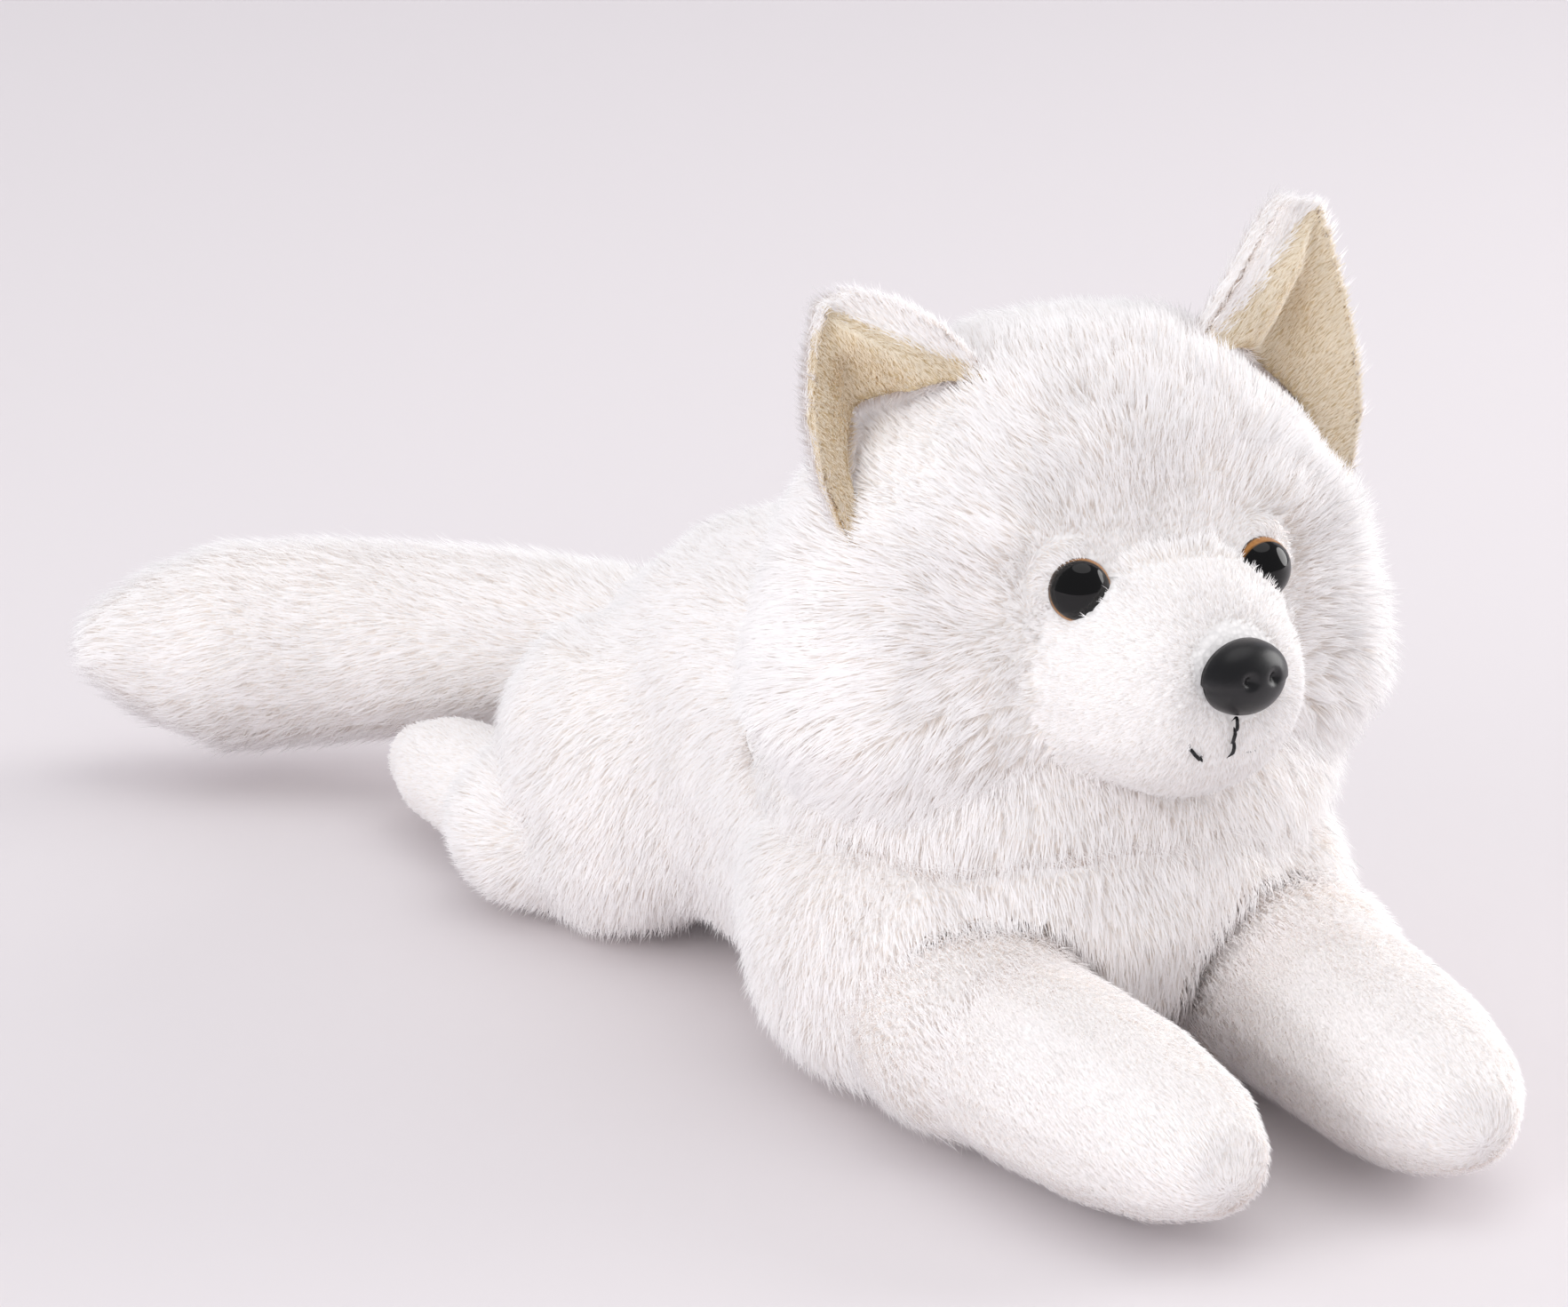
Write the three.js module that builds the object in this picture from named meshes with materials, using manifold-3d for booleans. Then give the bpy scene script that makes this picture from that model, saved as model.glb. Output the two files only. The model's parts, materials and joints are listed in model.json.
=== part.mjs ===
// A lying plush dog, built the way it is sewn: pile covers over stuffed forms, lined ears,
// shank eyes and nose held by washers, and a head, ears, legs and tail that bend at their
// seams. Millimetres, +Z up, the nose towards -Y and the dog's left side towards +X.
import * as THREE from "three";
import { mergeVertices } from "three/addons/utils/BufferGeometryUtils.js";
import Module from "manifold-3d";

const wasm = await Module();
wasm.setup();

// Overall proportions
const torsoLength = 200; // chest to rump
const torsoWidth = 112; // at the shoulders
const torsoHeight = 96; // floor to the top of the back
const headWidth = 138; // across the cheek ruff
const headHeight = 108;
const headDepth = 86;
const muzzleWidth = 50;
const muzzleHeight = 45;
const earHeight = 51; // lower root to tip
const earRootInner = { left: 64, right: 61 }; // degrees round the head from the side
const earRootOuter = 19;
const earRootForward = 6; // in front of the middle of the head
const earTip = { left: [-1, 10, 3], right: [-3, 8, -7] }; // outward, back and up of a plain ear
const earCup = 9; // how deep the middle of the ear is hollowed
const frontLegWidth = 43;
const frontLegLength = 83; // elbow pivot to the tip of the paw
const hindPawWidth = 32;
const hindPawLength = 78; // hip pivot to the tip of the paw
const tailLength = 179;
const tailThickness = 56; // at its fattest

// Cloth, hardware and clearances
const coverWall = 4; // backing cloth with its pile pressed flat
const shortPileWall = 2.6; // muzzle and ear lining
const earBackWall = 3;
const clearance = 0.4; // between pieces that touch
const bendClearance = 1.5; // between pieces that move past each other
const socketClearance = 1; // round a stuffed ball, more than its flat facets cut off
const seamGap = 0.5; // across a sewn seam between two panels
const bellySeamHeight = 15;
const eyeDiameter = 12.6;
const eyeDomeHeight = 5.4;
const eyeSpacing = 38; // centre to centre
const shankDiameter = 3;
const shankLength = 13;
const washerDiameter = 13;
const washerThickness = 1.6;
const noseWidth = 18.5;
const noseHeight = 15.5;
const noseDepth = 9;
const stitchThickness = 1.1;
const mouthDrop = 7.5; // length of the stitch under the nose
const mouthWidth = 19; // corner to corner

// Where the bodies bend
const neckPivot = [3, 4, 90]; // the head leans a little to the dog's left
const neckBallRadius = 15;
const neckStemRadius = 9;
const neckFootHeight = 16; // underside of the neck plug above the floor
const tailPivot = [0, 138, 45];
const tailBallRadius = 12;
const elbowPivot = [33, -38, 21]; // dog's left, mirrored for the right
const hipPivot = [43, 124, 17]; // dog's left, mirrored for the right
const headRest = { nod: 0, roll: 0.6, turn: 0 }; // how the head is sewn on, degrees

// How far they bend from rest, degrees
const headTurn = [-22, 22];
const headNod = [-10, 8]; // nose up, nose down
const legSplay = [-3, 20]; // in, out
const hindSplay = [0, 20];
const tailSwing = [-10, 4]; // to the dog's left, right
const tailLift = [0, 22];
const earFlex = [-14, 14]; // back, forward

const colours = {
  longPile: 0xf6f4f4,
  shortPile: 0xf8f7f7,
  lining: 0xe2d4b8,
  stuffing: 0xfafafa,
  black: 0x0b0b0d,
  washer: 0xe4e4e2,
};

const far = 600; // half size of a block that stands for a half space
const torsoMiddle = [0, 49];
const headCentre = [0, -8, 7]; // from the neck pivot
const muzzleTip = -72; // front of the muzzle, from the neck pivot

// ---------- solids ----------

function point(p) {
  return new THREE.Vector3(...p);
}

function solid(geometry) {
  const bare = geometry.clone();
  bare.deleteAttribute("normal");
  bare.deleteAttribute("uv");
  const merged = mergeVertices(bare, 1e-4);
  return new wasm.Manifold(new wasm.Mesh({
    numProp: 3,
    vertProperties: new Float32Array(merged.attributes.position.array),
    triVerts: new Uint32Array(merged.index.array),
  }));
}

function geometryOf(shape) {
  const mesh = shape.getMesh();
  const geometry = new THREE.BufferGeometry();
  geometry.setAttribute("position", new THREE.Float32BufferAttribute(mesh.vertProperties, 3));
  geometry.setIndex(new THREE.Uint32BufferAttribute(mesh.triVerts, 1));
  return geometry;
}

function cut(shape, ...tools) {
  return tools.reduce((left, tool) => left.subtract(tool), shape);
}

function joined(shapes) {
  return shapes.reduce((sum, shape) => sum.add(shape));
}

// A block that fills everything on one side of a plane across an axis.
function halfSpace(axis, at, side) {
  const block = new THREE.BoxGeometry(2 * far, 2 * far, 2 * far);
  const offset = new THREE.Vector3();
  offset[axis] = at + side * far;
  return solid(block.translate(offset.x, offset.y, offset.z));
}

function ball(centre, radius) {
  return new THREE.SphereGeometry(radius, 14, 9).translate(...centre);
}

// A closed form lofted through ovals along a smooth spine, with rounded ends. wide and high
// are half sizes at the spine's points; blunt and square set how full the ends and corners are.
function softForm(shape, grow = 0) {
  const { spine, wide, high, blunt, square = 2, rings, sides, up = [0, 0, 1] } = shape;
  const curve = new THREE.CatmullRomCurve3(spine.map(point), false, "centripetal");
  const sizeAt = (values, t) => {
    const step = (values.length - 1) * t;
    const i = Math.min(Math.floor(step), values.length - 2);
    const f = THREE.MathUtils.smoothstep(step - i, 0, 1);
    return values[i] + (values[i + 1] - values[i]) * f + grow;
  };
  const positions = [];
  for (let ring = 0; ring <= rings; ring++) {
    const t = (1 - Math.cos((Math.PI * ring) / rings)) / 2;
    const end = 2 * t - 1;
    const round = Math.pow(1 - Math.pow(Math.abs(end), blunt), 1 / blunt);
    const tangent = curve.getTangent(t);
    const centre = curve.getPoint(t).addScaledVector(tangent, grow * end);
    if (ring === 0 || ring === rings) {
      positions.push(centre);
      continue;
    }
    const across = new THREE.Vector3().crossVectors(tangent, point(up)).normalize();
    const upward = new THREE.Vector3().crossVectors(across, tangent);
    for (let side = 0; side < sides; side++) {
      const angle = (2 * Math.PI * side) / sides;
      const [cos, sin] = [Math.cos(angle), Math.sin(angle)];
      const full = round / Math.pow(Math.abs(cos) ** square + Math.abs(sin) ** square, 1 / square);
      positions.push(centre.clone()
        .addScaledVector(across, cos * sizeAt(wide, t) * full)
        .addScaledVector(upward, sin * sizeAt(high, t) * full));
    }
  }
  const index = [];
  const last = positions.length - 1;
  for (let side = 0; side < sides; side++) {
    const next = (side + 1) % sides;
    index.push(0, 1 + side, 1 + next);
    for (let ring = 0; ring < rings - 2; ring++) {
      const a = 1 + ring * sides;
      const b = a + sides;
      index.push(a + side, b + side, b + next, a + side, b + next, a + next);
    }
    index.push(last, last - sides + next, last - sides + side);
  }
  const geometry = new THREE.BufferGeometry().setFromPoints(positions);
  geometry.setIndex(index);
  return geometry;
}

// ---------- motion ----------

// The placements of a body that turns about an axis through a pivot.
function turns(pivot, axis, degrees) {
  return degrees.map((angle) => {
    const radians = THREE.MathUtils.degToRad(angle);
    const turn = new THREE.Matrix4().makeRotationAxis(point(axis).normalize(), radians);
    const there = new THREE.Matrix4().makeTranslation(...pivot);
    const back = new THREE.Matrix4().makeTranslation(-pivot[0], -pivot[1], -pivot[2]);
    return there.multiply(turn).multiply(back);
  });
}

function combined(outer, inner) {
  return outer.flatMap((a) => inner.map((b) => a.clone().multiply(b)));
}

function inverses(moves) {
  return moves.map((move) => move.clone().invert());
}

// Everything that a form passes through as it takes each placement.
function swept(geometry, moves) {
  return joined(moves.map((move) => solid(geometry.clone().applyMatrix4(move))));
}

function steps([low, high], count) {
  return Array.from({ length: count }, (_, i) => low + ((high - low) * i) / (count - 1));
}

// ---------- forms ----------

const torsoY = torsoMiddle[1];
const torsoFront = torsoY - torsoLength / 2;
const torsoBack = torsoY + torsoLength / 2;

const torsoShape = {
  spine: [
    [0, torsoFront, 40],
    [0, torsoY - torsoLength / 4, torsoHeight / 2 - 4],
    [0, torsoY, torsoHeight / 2 - 1],
    [0, torsoY + torsoLength / 4, torsoHeight / 2 - 2],
    [0, torsoBack, 42],
  ],
  wide: [torsoWidth / 2 - 4, torsoWidth / 2, torsoWidth / 2 - 8, torsoWidth / 2 - 8, torsoWidth / 2 - 16],
  high: [42, torsoHeight / 2 - 1, torsoHeight / 2 + 1, torsoHeight / 2 - 1, 36],
  blunt: 2.7,
  square: 2.4,
  rings: 10,
  sides: 16,
};

const headShape = {
  spine: [
    [0, headCentre[1] + 2, headCentre[2] - headHeight / 2],
    [0, headCentre[1], headCentre[2] - headHeight / 5],
    [0, headCentre[1], headCentre[2] + headHeight / 6],
    [0, headCentre[1] + 3, headCentre[2] + headHeight / 2],
  ],
  wide: [headWidth / 2 - 14, headWidth / 2, headWidth / 2 - 10, headWidth / 2 - 23],
  high: [headDepth / 2 - 6, headDepth / 2, headDepth / 2, headDepth / 2 - 8],
  blunt: 2.6,
  rings: 10,
  sides: 18,
  up: [0, -1, 0],
};

const muzzleCentre = [0, headCentre[1], headCentre[2] - 9];
const muzzleShape = {
  spine: [
    [0, headCentre[1] - headDepth / 4, muzzleCentre[2] + 1],
    [0, (muzzleTip + headCentre[1] - headDepth / 4) / 2, muzzleCentre[2]],
    [0, muzzleTip, muzzleCentre[2] - 1],
  ],
  wide: [muzzleWidth / 2 - 1, muzzleWidth / 2, muzzleWidth / 2 - 4],
  high: [muzzleHeight / 2 - 1, muzzleHeight / 2, muzzleHeight / 2 - 3],
  blunt: 2.8,
  rings: 8,
  sides: 14,
};

function frontLegShape(side) {
  const [x, y, z] = elbowPivot;
  const half = frontLegWidth / 2;
  return {
    spine: [
      [side * x, y + half - 3, z],
      [side * (x - 2), y - frontLegLength / 3, z],
      [side * (x - 8), y - frontLegLength, half - 3],
    ],
    wide: [half - 1, half, half],
    high: [half - 1, half - 1, half - 2],
    blunt: 2.6,
    rings: 8,
    sides: 12,
  };
}

function shoulderShape(side) {
  const [x, y, z] = elbowPivot;
  return {
    spine: [
      [side * (x + 1), y + 76, z + 8],
      [side * (x + 3), y + 52, z + 11],
      [side * (x + 3), y + 24, z + 10],
      [side * x, y - 9, z + 4],
    ],
    wide: [20, 24, 25, 20],
    high: [29, 33, 33, 28],
    blunt: 2.4,
    rings: 7,
    sides: 12,
  };
}

function hindPawShape(side) {
  const [x, y, z] = hipPivot;
  const half = hindPawWidth / 2;
  return {
    spine: [
      [side * x, y - half + 3, z],
      [side * (x + 1), y + hindPawLength / 3, z - 1],
      [side * (x + 3), y + hindPawLength, half - 1],
    ],
    wide: [half - 3, half - 1, half],
    high: [half - 2, half - 1.5, half - 1],
    blunt: 2.5,
    rings: 7,
    sides: 12,
  };
}

function haunchShape(side) {
  const [x, y, z] = hipPivot;
  return {
    spine: [
      [side * (x - 8), y - 52, z + 12],
      [side * (x - 6), y - 28, z + 15],
      [side * (x - 5), y, z + 14],
      [side * (x - 7), y + 26, z + 9],
    ],
    wide: [18, 24, 24, 19],
    high: [26, 35, 35, 27],
    blunt: 2.4,
    rings: 7,
    sides: 12,
  };
}

const [, tailY, tailZ] = tailPivot;
const tailShape = {
  spine: [
    [0, tailY - 18, tailZ + 1],
    [0, tailY + tailLength * 0.12, tailZ - 4],
    [-8, tailY + tailLength * 0.31, tailZ - 9],
    [-38, tailY + tailLength * 0.5, tailThickness / 2 + 4],
    [-72, tailY + tailLength * 0.6, tailThickness / 2 + 2],
    [-100, tailY + tailLength * 0.7, tailThickness / 2 + 2],
  ],
  wide: [17, 18, 20, tailThickness / 2 - 3, tailThickness / 2, tailThickness / 2 - 3],
  high: [17, 18, 19, tailThickness / 2 - 5, tailThickness / 2, tailThickness / 2 - 4],
  blunt: 2.3,
  rings: 10,
  sides: 14,
};

// Surfaces that are never seen are lofted with fewer facets, the same ones inside and out.
function coarse(shape) {
  return { ...shape, rings: Math.round(shape.rings * 0.66), sides: 2 * Math.round(shape.sides * 0.34) };
}

// A form shrunk by a cloth's thickness; one that lies on the floor is flat underneath.
function filled(shape, inset, resting = true) {
  const form = solid(softForm(inset > 0 ? coarse(shape) : shape, -inset));
  return resting ? cut(form, halfSpace("z", inset, -1)) : form;
}

function coverOf(shape, wall = coverWall, resting = true) {
  return cut(filled(shape, 0, resting), filled(shape, wall, resting));
}

function stuffingOf(shape, wall = coverWall, resting = true) {
  return filled(shape, wall + clearance, resting);
}

// A coarse copy stands for a form where a neighbour has to give it room. It is larger by
// what its flat facets cut off the round.
function envelope(shape) {
  const sides = 12;
  const facets = Math.max(...shape.wide, ...shape.high) * (1 - Math.cos(Math.PI / sides));
  return softForm({ ...shape, rings: 8, sides }, bendClearance + facets);
}

// ---------- placements ----------

function mirrored([x, y, z]) {
  return [-x, y, z];
}

const headPlace = new THREE.Matrix4().compose(
  point(neckPivot),
  new THREE.Quaternion().setFromEuler(new THREE.Euler(
    -THREE.MathUtils.degToRad(headRest.nod),
    THREE.MathUtils.degToRad(headRest.roll),
    THREE.MathUtils.degToRad(headRest.turn),
    "ZYX",
  )),
  new THREE.Vector3(1, 1, 1),
);

const nodMoves = turns(neckPivot, [1, 0, 0], headNod);
const headMoves = combined(turns(neckPivot, [0, 0, 1], steps(headTurn, 3)), nodMoves);
const tailMoves = combined(
  turns(tailPivot, [0, 0, 1], tailSwing),
  turns(tailPivot, [1, 0, 0], tailLift),
);

// Legs splay about upright axes. A left front leg goes outward as it turns about +Z, and a
// left hind leg, which points back, as it turns about -Z; the right ones are mirrored.
function splayMoves(pivot, side, upright, range, count) {
  const at = side > 0 ? pivot : mirrored(pivot);
  return turns(at, [0, 0, side * upright], steps(range, count));
}

const sides = { left: 1, right: -1 };

const headRoom = joined([
  swept(envelope(headShape).applyMatrix4(headPlace), headMoves),
  swept(envelope(muzzleShape).applyMatrix4(headPlace), headMoves),
]);
const frontTail = halfSpace("y", tailY, -1);
const tailRoot = geometryOf(cut(solid(envelope(tailShape)), frontTail));
const tailRoom = swept(tailRoot, tailMoves);

function legRoom(side) {
  return swept(envelope(frontLegShape(side)), splayMoves(elbowPivot, side, 1, legSplay, 3));
}

function pawRoom(side) {
  return swept(envelope(hindPawShape(side)), splayMoves(hipPivot, side, -1, hindSplay, 2));
}

// ---------- the assembly ----------

const dog = new THREE.Group();

function material(colour, roughness) {
  return new THREE.MeshStandardMaterial({ color: colour, roughness, metalness: 0 });
}

const finishes = {
  longPile: () => material(colours.longPile, 0.95),
  shortPile: () => material(colours.shortPile, 0.95),
  lining: () => material(colours.lining, 0.9),
  stuffing: () => material(colours.stuffing, 1),
  gloss: () => material(colours.black, 0.12),
  satin: () => material(colours.black, 0.4),
  thread: () => material(colours.black, 0.7),
  washer: () => material(colours.washer, 0.5),
};

function add(group, name, shape, finish) {
  const geometry = shape.isBufferGeometry ? shape : geometryOf(shape);
  const mesh = new THREE.Mesh(geometry, finishes[finish]());
  mesh.name = name;
  group.add(mesh);
  return mesh;
}

// ---------- neck plug ----------

// A stuffed plug: a ball that the head nods on, on a stem that turns in the torso.
function neckBall(grow) {
  return new THREE.SphereGeometry(neckBallRadius + grow, 12, 8).translate(...neckPivot);
}

function neckStem(grow) {
  const foot = neckFootHeight - neckPivot[2] - grow;
  const radius = neckStemRadius + grow;
  const profile = [[0, foot], [radius, foot], [radius, 0], [0, 0]].map((p) => new THREE.Vector2(...p));
  return new THREE.LatheGeometry(profile, 12).rotateX(Math.PI / 2).translate(...neckPivot);
}

const neckHole = solid(neckStem(clearance));
add(dog, "neck_stuffing", solid(neckBall(0)).add(solid(neckStem(0))), "stuffing");

// ---------- torso ----------

const legRooms = joined(Object.values(sides).map(legRoom));
const pawRooms = joined(Object.values(sides).map(pawRoom));
const torsoRooms = [headRoom, legRooms, pawRooms, tailRoom];
const torsoShell = cut(coverOf(torsoShape), ...torsoRooms);
const aboveBellySeam = halfSpace("z", bellySeamHeight + seamGap, 1);
const belowBellySeam = halfSpace("z", bellySeamHeight, -1);

for (const [name, side] of Object.entries(sides)) {
  const half = halfSpace("x", (side * seamGap) / 2, side);
  add(dog, `body_cover_${name}`, torsoShell.intersect(half).intersect(aboveBellySeam), "longPile");
}
add(dog, "belly_cover", torsoShell.intersect(belowBellySeam), "longPile");

const tailBall = solid(ball(tailPivot, tailBallRadius));
const tailSocket = solid(ball(tailPivot, tailBallRadius + clearance));
add(dog, "body_stuffing", cut(stuffingOf(torsoShape), ...torsoRooms, neckHole, tailSocket), "stuffing");

// ---------- shoulders, haunches and hind paws ----------

const torsoSeat = solid(softForm(torsoShape, clearance));
for (const [name, side] of Object.entries(sides)) {
  const bulges = { shoulder: shoulderShape(side), haunch: haunchShape(side) };
  for (const [bulge, shape] of Object.entries(bulges)) {
    const rooms = [torsoSeat, ...torsoRooms];
    add(dog, `${bulge}_cover_${name}`, cut(coverOf(shape), ...rooms), "longPile");
    add(dog, `${bulge}_stuffing_${name}`, cut(stuffingOf(shape), ...rooms), "stuffing");
  }
}

const rootCut = halfSpace("y", hipPivot[1] + hindPawWidth / 3, -1);
for (const [name, side] of Object.entries(sides)) {
  const shape = hindPawShape(side);
  const tailNear = swept(geometryOf(tailRoom), inverses(splayMoves(hipPivot, side, -1, hindSplay, 2)));
  add(dog, `hind_paw_cover_${name}`, cut(coverOf(shape), tailNear, rootCut), "longPile");
  add(dog, `hind_paw_stuffing_${name}`, cut(stuffingOf(shape), tailNear), "stuffing");
}

// ---------- front legs ----------

const sleeveCut = halfSpace("y", elbowPivot[1] + frontLegWidth / 4, 1);
for (const [name, side] of Object.entries(sides)) {
  const shape = frontLegShape(side);
  add(dog, `front_leg_cover_${name}`, cut(coverOf(shape), sleeveCut), "longPile");
  add(dog, `front_leg_stuffing_${name}`, stuffingOf(shape), "stuffing");
}

// ---------- tail ----------

add(dog, "tail_root_stuffing", tailBall, "stuffing");
add(dog, "tail_cover", cut(coverOf(tailShape), frontTail, tailSocket), "longPile");
add(dog, "tail_stuffing", cut(stuffingOf(tailShape), frontTail, tailSocket), "stuffing");

// ---------- head, in a frame of its own at the neck pivot ----------

const head = new THREE.Group();
head.applyMatrix4(headPlace);
dog.add(head);

// Where a straight line towards the middle of the head first meets a form.
function surfacePoint(form, from, towards) {
  const direction = point(towards).sub(point(from)).normalize();
  const target = new THREE.Mesh(form, new THREE.MeshStandardMaterial({ side: THREE.DoubleSide }));
  return new THREE.Raycaster(point(from), direction).intersectObject(target)[0].point;
}

const headForm = softForm(headShape);
const muzzleForm = softForm(muzzleShape);
const stemMoves = inverses(turns(neckPivot, [1, 0, 0], steps(headNod, 4)));
const neckSlot = swept(neckStem(bendClearance), stemMoves).add(solid(neckBall(socketClearance)));
const neckSlotInHead = solid(geometryOf(neckSlot).applyMatrix4(headPlace.clone().invert()));

// A shank ends in a washer pushed on behind the cover; holder is the room that both need.
function shankAndWasher(depth) {
  const washerFront = -depth - clearance;
  const washer = new THREE.LatheGeometry([
    new THREE.Vector2(shankDiameter / 2 + clearance, washerFront - washerThickness),
    new THREE.Vector2(washerDiameter / 2, washerFront - washerThickness),
    new THREE.Vector2(washerDiameter / 2, washerFront),
    new THREE.Vector2(shankDiameter / 2 + clearance, washerFront),
    new THREE.Vector2(shankDiameter / 2 + clearance, washerFront - washerThickness),
  ], 12);
  const shank = new THREE.CylinderGeometry(shankDiameter / 2, shankDiameter / 2, shankLength, 8);
  shank.translate(0, -shankLength / 2 + 1, 0);
  const hole = new THREE.CylinderGeometry(
    shankDiameter / 2 + clearance,
    shankDiameter / 2 + clearance,
    shankLength + 2,
    8,
  ).translate(0, -shankLength / 2, 0);
  const pocket = new THREE.CylinderGeometry(
    washerDiameter / 2 + clearance,
    washerDiameter / 2 + clearance,
    washerThickness + 3 * clearance + 1.2,
    12,
  ).translate(0, washerFront - washerThickness / 2 + 0.3, 0);
  return { washer, shank, hole, pocket };
}

// Stands a piece modelled along +Y out of a surface along a direction.
function standing(geometry, at, outward) {
  const turn = new THREE.Quaternion().setFromUnitVectors(
    new THREE.Vector3(0, 1, 0),
    point(outward).normalize(),
  );
  const place = new THREE.Matrix4().compose(at, turn, new THREE.Vector3(1, 1, 1));
  return geometry.clone().applyMatrix4(place);
}

// ---------- eyes ----------

const eyeHeight = headCentre[2] + 9.5;
const eyeOutward = (side) => [side * 0.28, -1, 0.12];
const eyeDome = new THREE.LatheGeometry([
  new THREE.Vector2(0, 0),
  new THREE.Vector2(eyeDiameter / 2, 0),
  ...[20, 45, 70].map((degrees) => {
    const angle = THREE.MathUtils.degToRad(degrees);
    return new THREE.Vector2((Math.cos(angle) * eyeDiameter) / 2, Math.sin(angle) * eyeDomeHeight);
  }),
  new THREE.Vector2(0, eyeDomeHeight),
], 16);
const eyeFittings = shankAndWasher(coverWall + 2.6);
const eyeHoles = [];
const eyePockets = [];

for (const [name, side] of Object.entries(sides)) {
  const from = [(side * eyeSpacing) / 2, -far, eyeHeight];
  const at = surfacePoint(headForm, from, [from[0], 0, from[2]]);
  const lifted = at.clone().addScaledVector(point(eyeOutward(side)).normalize(), clearance);
  const place = (geometry) => standing(geometry, lifted, eyeOutward(side));
  const seatRadius = eyeDiameter / 2 + clearance;
  const seat = new THREE.CylinderGeometry(seatRadius, seatRadius, 20, 16);
  eyeHoles.push(solid(place(eyeFittings.hole)), solid(place(seat.translate(0, 10 - clearance, 0))));
  eyePockets.push(solid(place(eyeFittings.pocket)));
  add(head, `eye_${name}`, solid(place(eyeDome)).add(solid(place(eyeFittings.shank))), "gloss");
  add(head, `eye_washer_${name}`, place(eyeFittings.washer), "washer");
}
const eyeRoom = joined(eyeHoles);
const eyePocketRoom = joined(eyePockets);

// ---------- nose ----------

const noseAt = surfacePoint(muzzleForm, [0, -far, headCentre[2] - 1], [0, 0, headCentre[2] - 1]);
const noseOutward = [0, -1, 0.2];
const noseDome = new THREE.LatheGeometry([
  new THREE.Vector2(0, 0),
  new THREE.Vector2(0.86, 0),
  new THREE.Vector2(1, 0.22),
  new THREE.Vector2(0.97, 0.5),
  new THREE.Vector2(0.8, 0.78),
  new THREE.Vector2(0.5, 0.94),
  new THREE.Vector2(0, 1),
], 16).scale(noseWidth / 2, noseDepth, noseHeight / 2);
const noseFittings = shankAndWasher(shortPileWall + 3.4);
const noseLift = noseAt.clone().addScaledVector(point(noseOutward).normalize(), clearance);
const placeNose = (geometry) => standing(geometry, noseLift, noseOutward);
const noseSeat = new THREE.CylinderGeometry(1, 1, 1, 16)
  .translate(0, 0.5, 0)
  .scale(noseWidth / 2 + clearance, noseDepth, noseHeight / 2 + clearance)
  .translate(0, -clearance / 2, 0);
const noseRoom = solid(placeNose(noseFittings.hole)).add(solid(placeNose(noseSeat)));
add(head, "nose", solid(placeNose(noseDome)).add(solid(placeNose(noseFittings.shank))), "satin");
add(head, "nose_washer", placeNose(noseFittings.washer), "washer");

// ---------- head and muzzle covers ----------

const muzzleSeat = filled(headShape, coverWall, false);
const muzzleHole = solid(softForm(muzzleShape, clearance));
const headShell = cut(coverOf(headShape, coverWall, false), muzzleHole, neckSlotInHead, eyeRoom);
const muzzleShell = coverOf(muzzleShape, shortPileWall, false);
const washerRooms = [eyePocketRoom, noseRoom, eyeRoom, solid(placeNose(noseFittings.pocket))];

for (const [name, side] of Object.entries(sides)) {
  const half = halfSpace("x", (side * seamGap) / 2, side);
  add(head, `head_cover_${name}`, headShell.intersect(half), "longPile");
}
add(head, "muzzle_cover", cut(muzzleShell, muzzleSeat, eyeRoom, noseRoom), "shortPile");
const headFilling = stuffingOf(headShape, coverWall, false);
const muzzleFilling = stuffingOf(muzzleShape, shortPileWall, false);
add(head, "head_stuffing", cut(headFilling, neckSlotInHead, ...washerRooms), "stuffing");
add(head, "muzzle_stuffing", cut(muzzleFilling, muzzleSeat, ...washerRooms), "stuffing");

// ---------- mouth ----------

// A thread laid over the muzzle through places given across and below its middle.
function stitch(places) {
  const radius = stitchThickness / 2;
  const route = places.map(([x, z]) => {
    const from = [x, -far, headCentre[2] + z];
    const at = surfacePoint(muzzleForm, from, [x, 0, from[2]]);
    return at.add(new THREE.Vector3(0, -radius - clearance, 0));
  });
  const section = new THREE.Shape().absarc(0, 0, radius, 0, 2 * Math.PI);
  return new THREE.ExtrudeGeometry(section, {
    extrudePath: new THREE.CatmullRomCurve3(route),
    steps: 5,
    curveSegments: 4,
  });
}

const mouthTop = -noseHeight / 2 - 3;
const mouthEnd = mouthTop - mouthDrop;
const centerStitch = stitch([[0, mouthTop], [0, mouthTop - mouthDrop / 2], [0, mouthEnd]]);
add(head, "mouth_stitch_center", centerStitch, "thread");
for (const [name, side] of Object.entries(sides)) {
  const reach = (side * mouthWidth) / 2;
  const places = [[side * 1.8, mouthEnd], [reach * 0.6, mouthEnd - 0.5], [reach, mouthEnd + 4.5]];
  add(head, `mouth_stitch_${name}`, stitch(places), "thread");
}

// ---------- ears ----------

function earSide(side) {
  return side > 0 ? "left" : "right";
}

function earRoot(side, degrees) {
  const angle = THREE.MathUtils.degToRad(degrees);
  const y = headCentre[1] - earRootForward;
  const outward = [side * Math.cos(angle) * far, y, headCentre[2] + Math.sin(angle) * far];
  return surfacePoint(headForm, outward, [0, y, headCentre[2]]);
}

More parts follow.
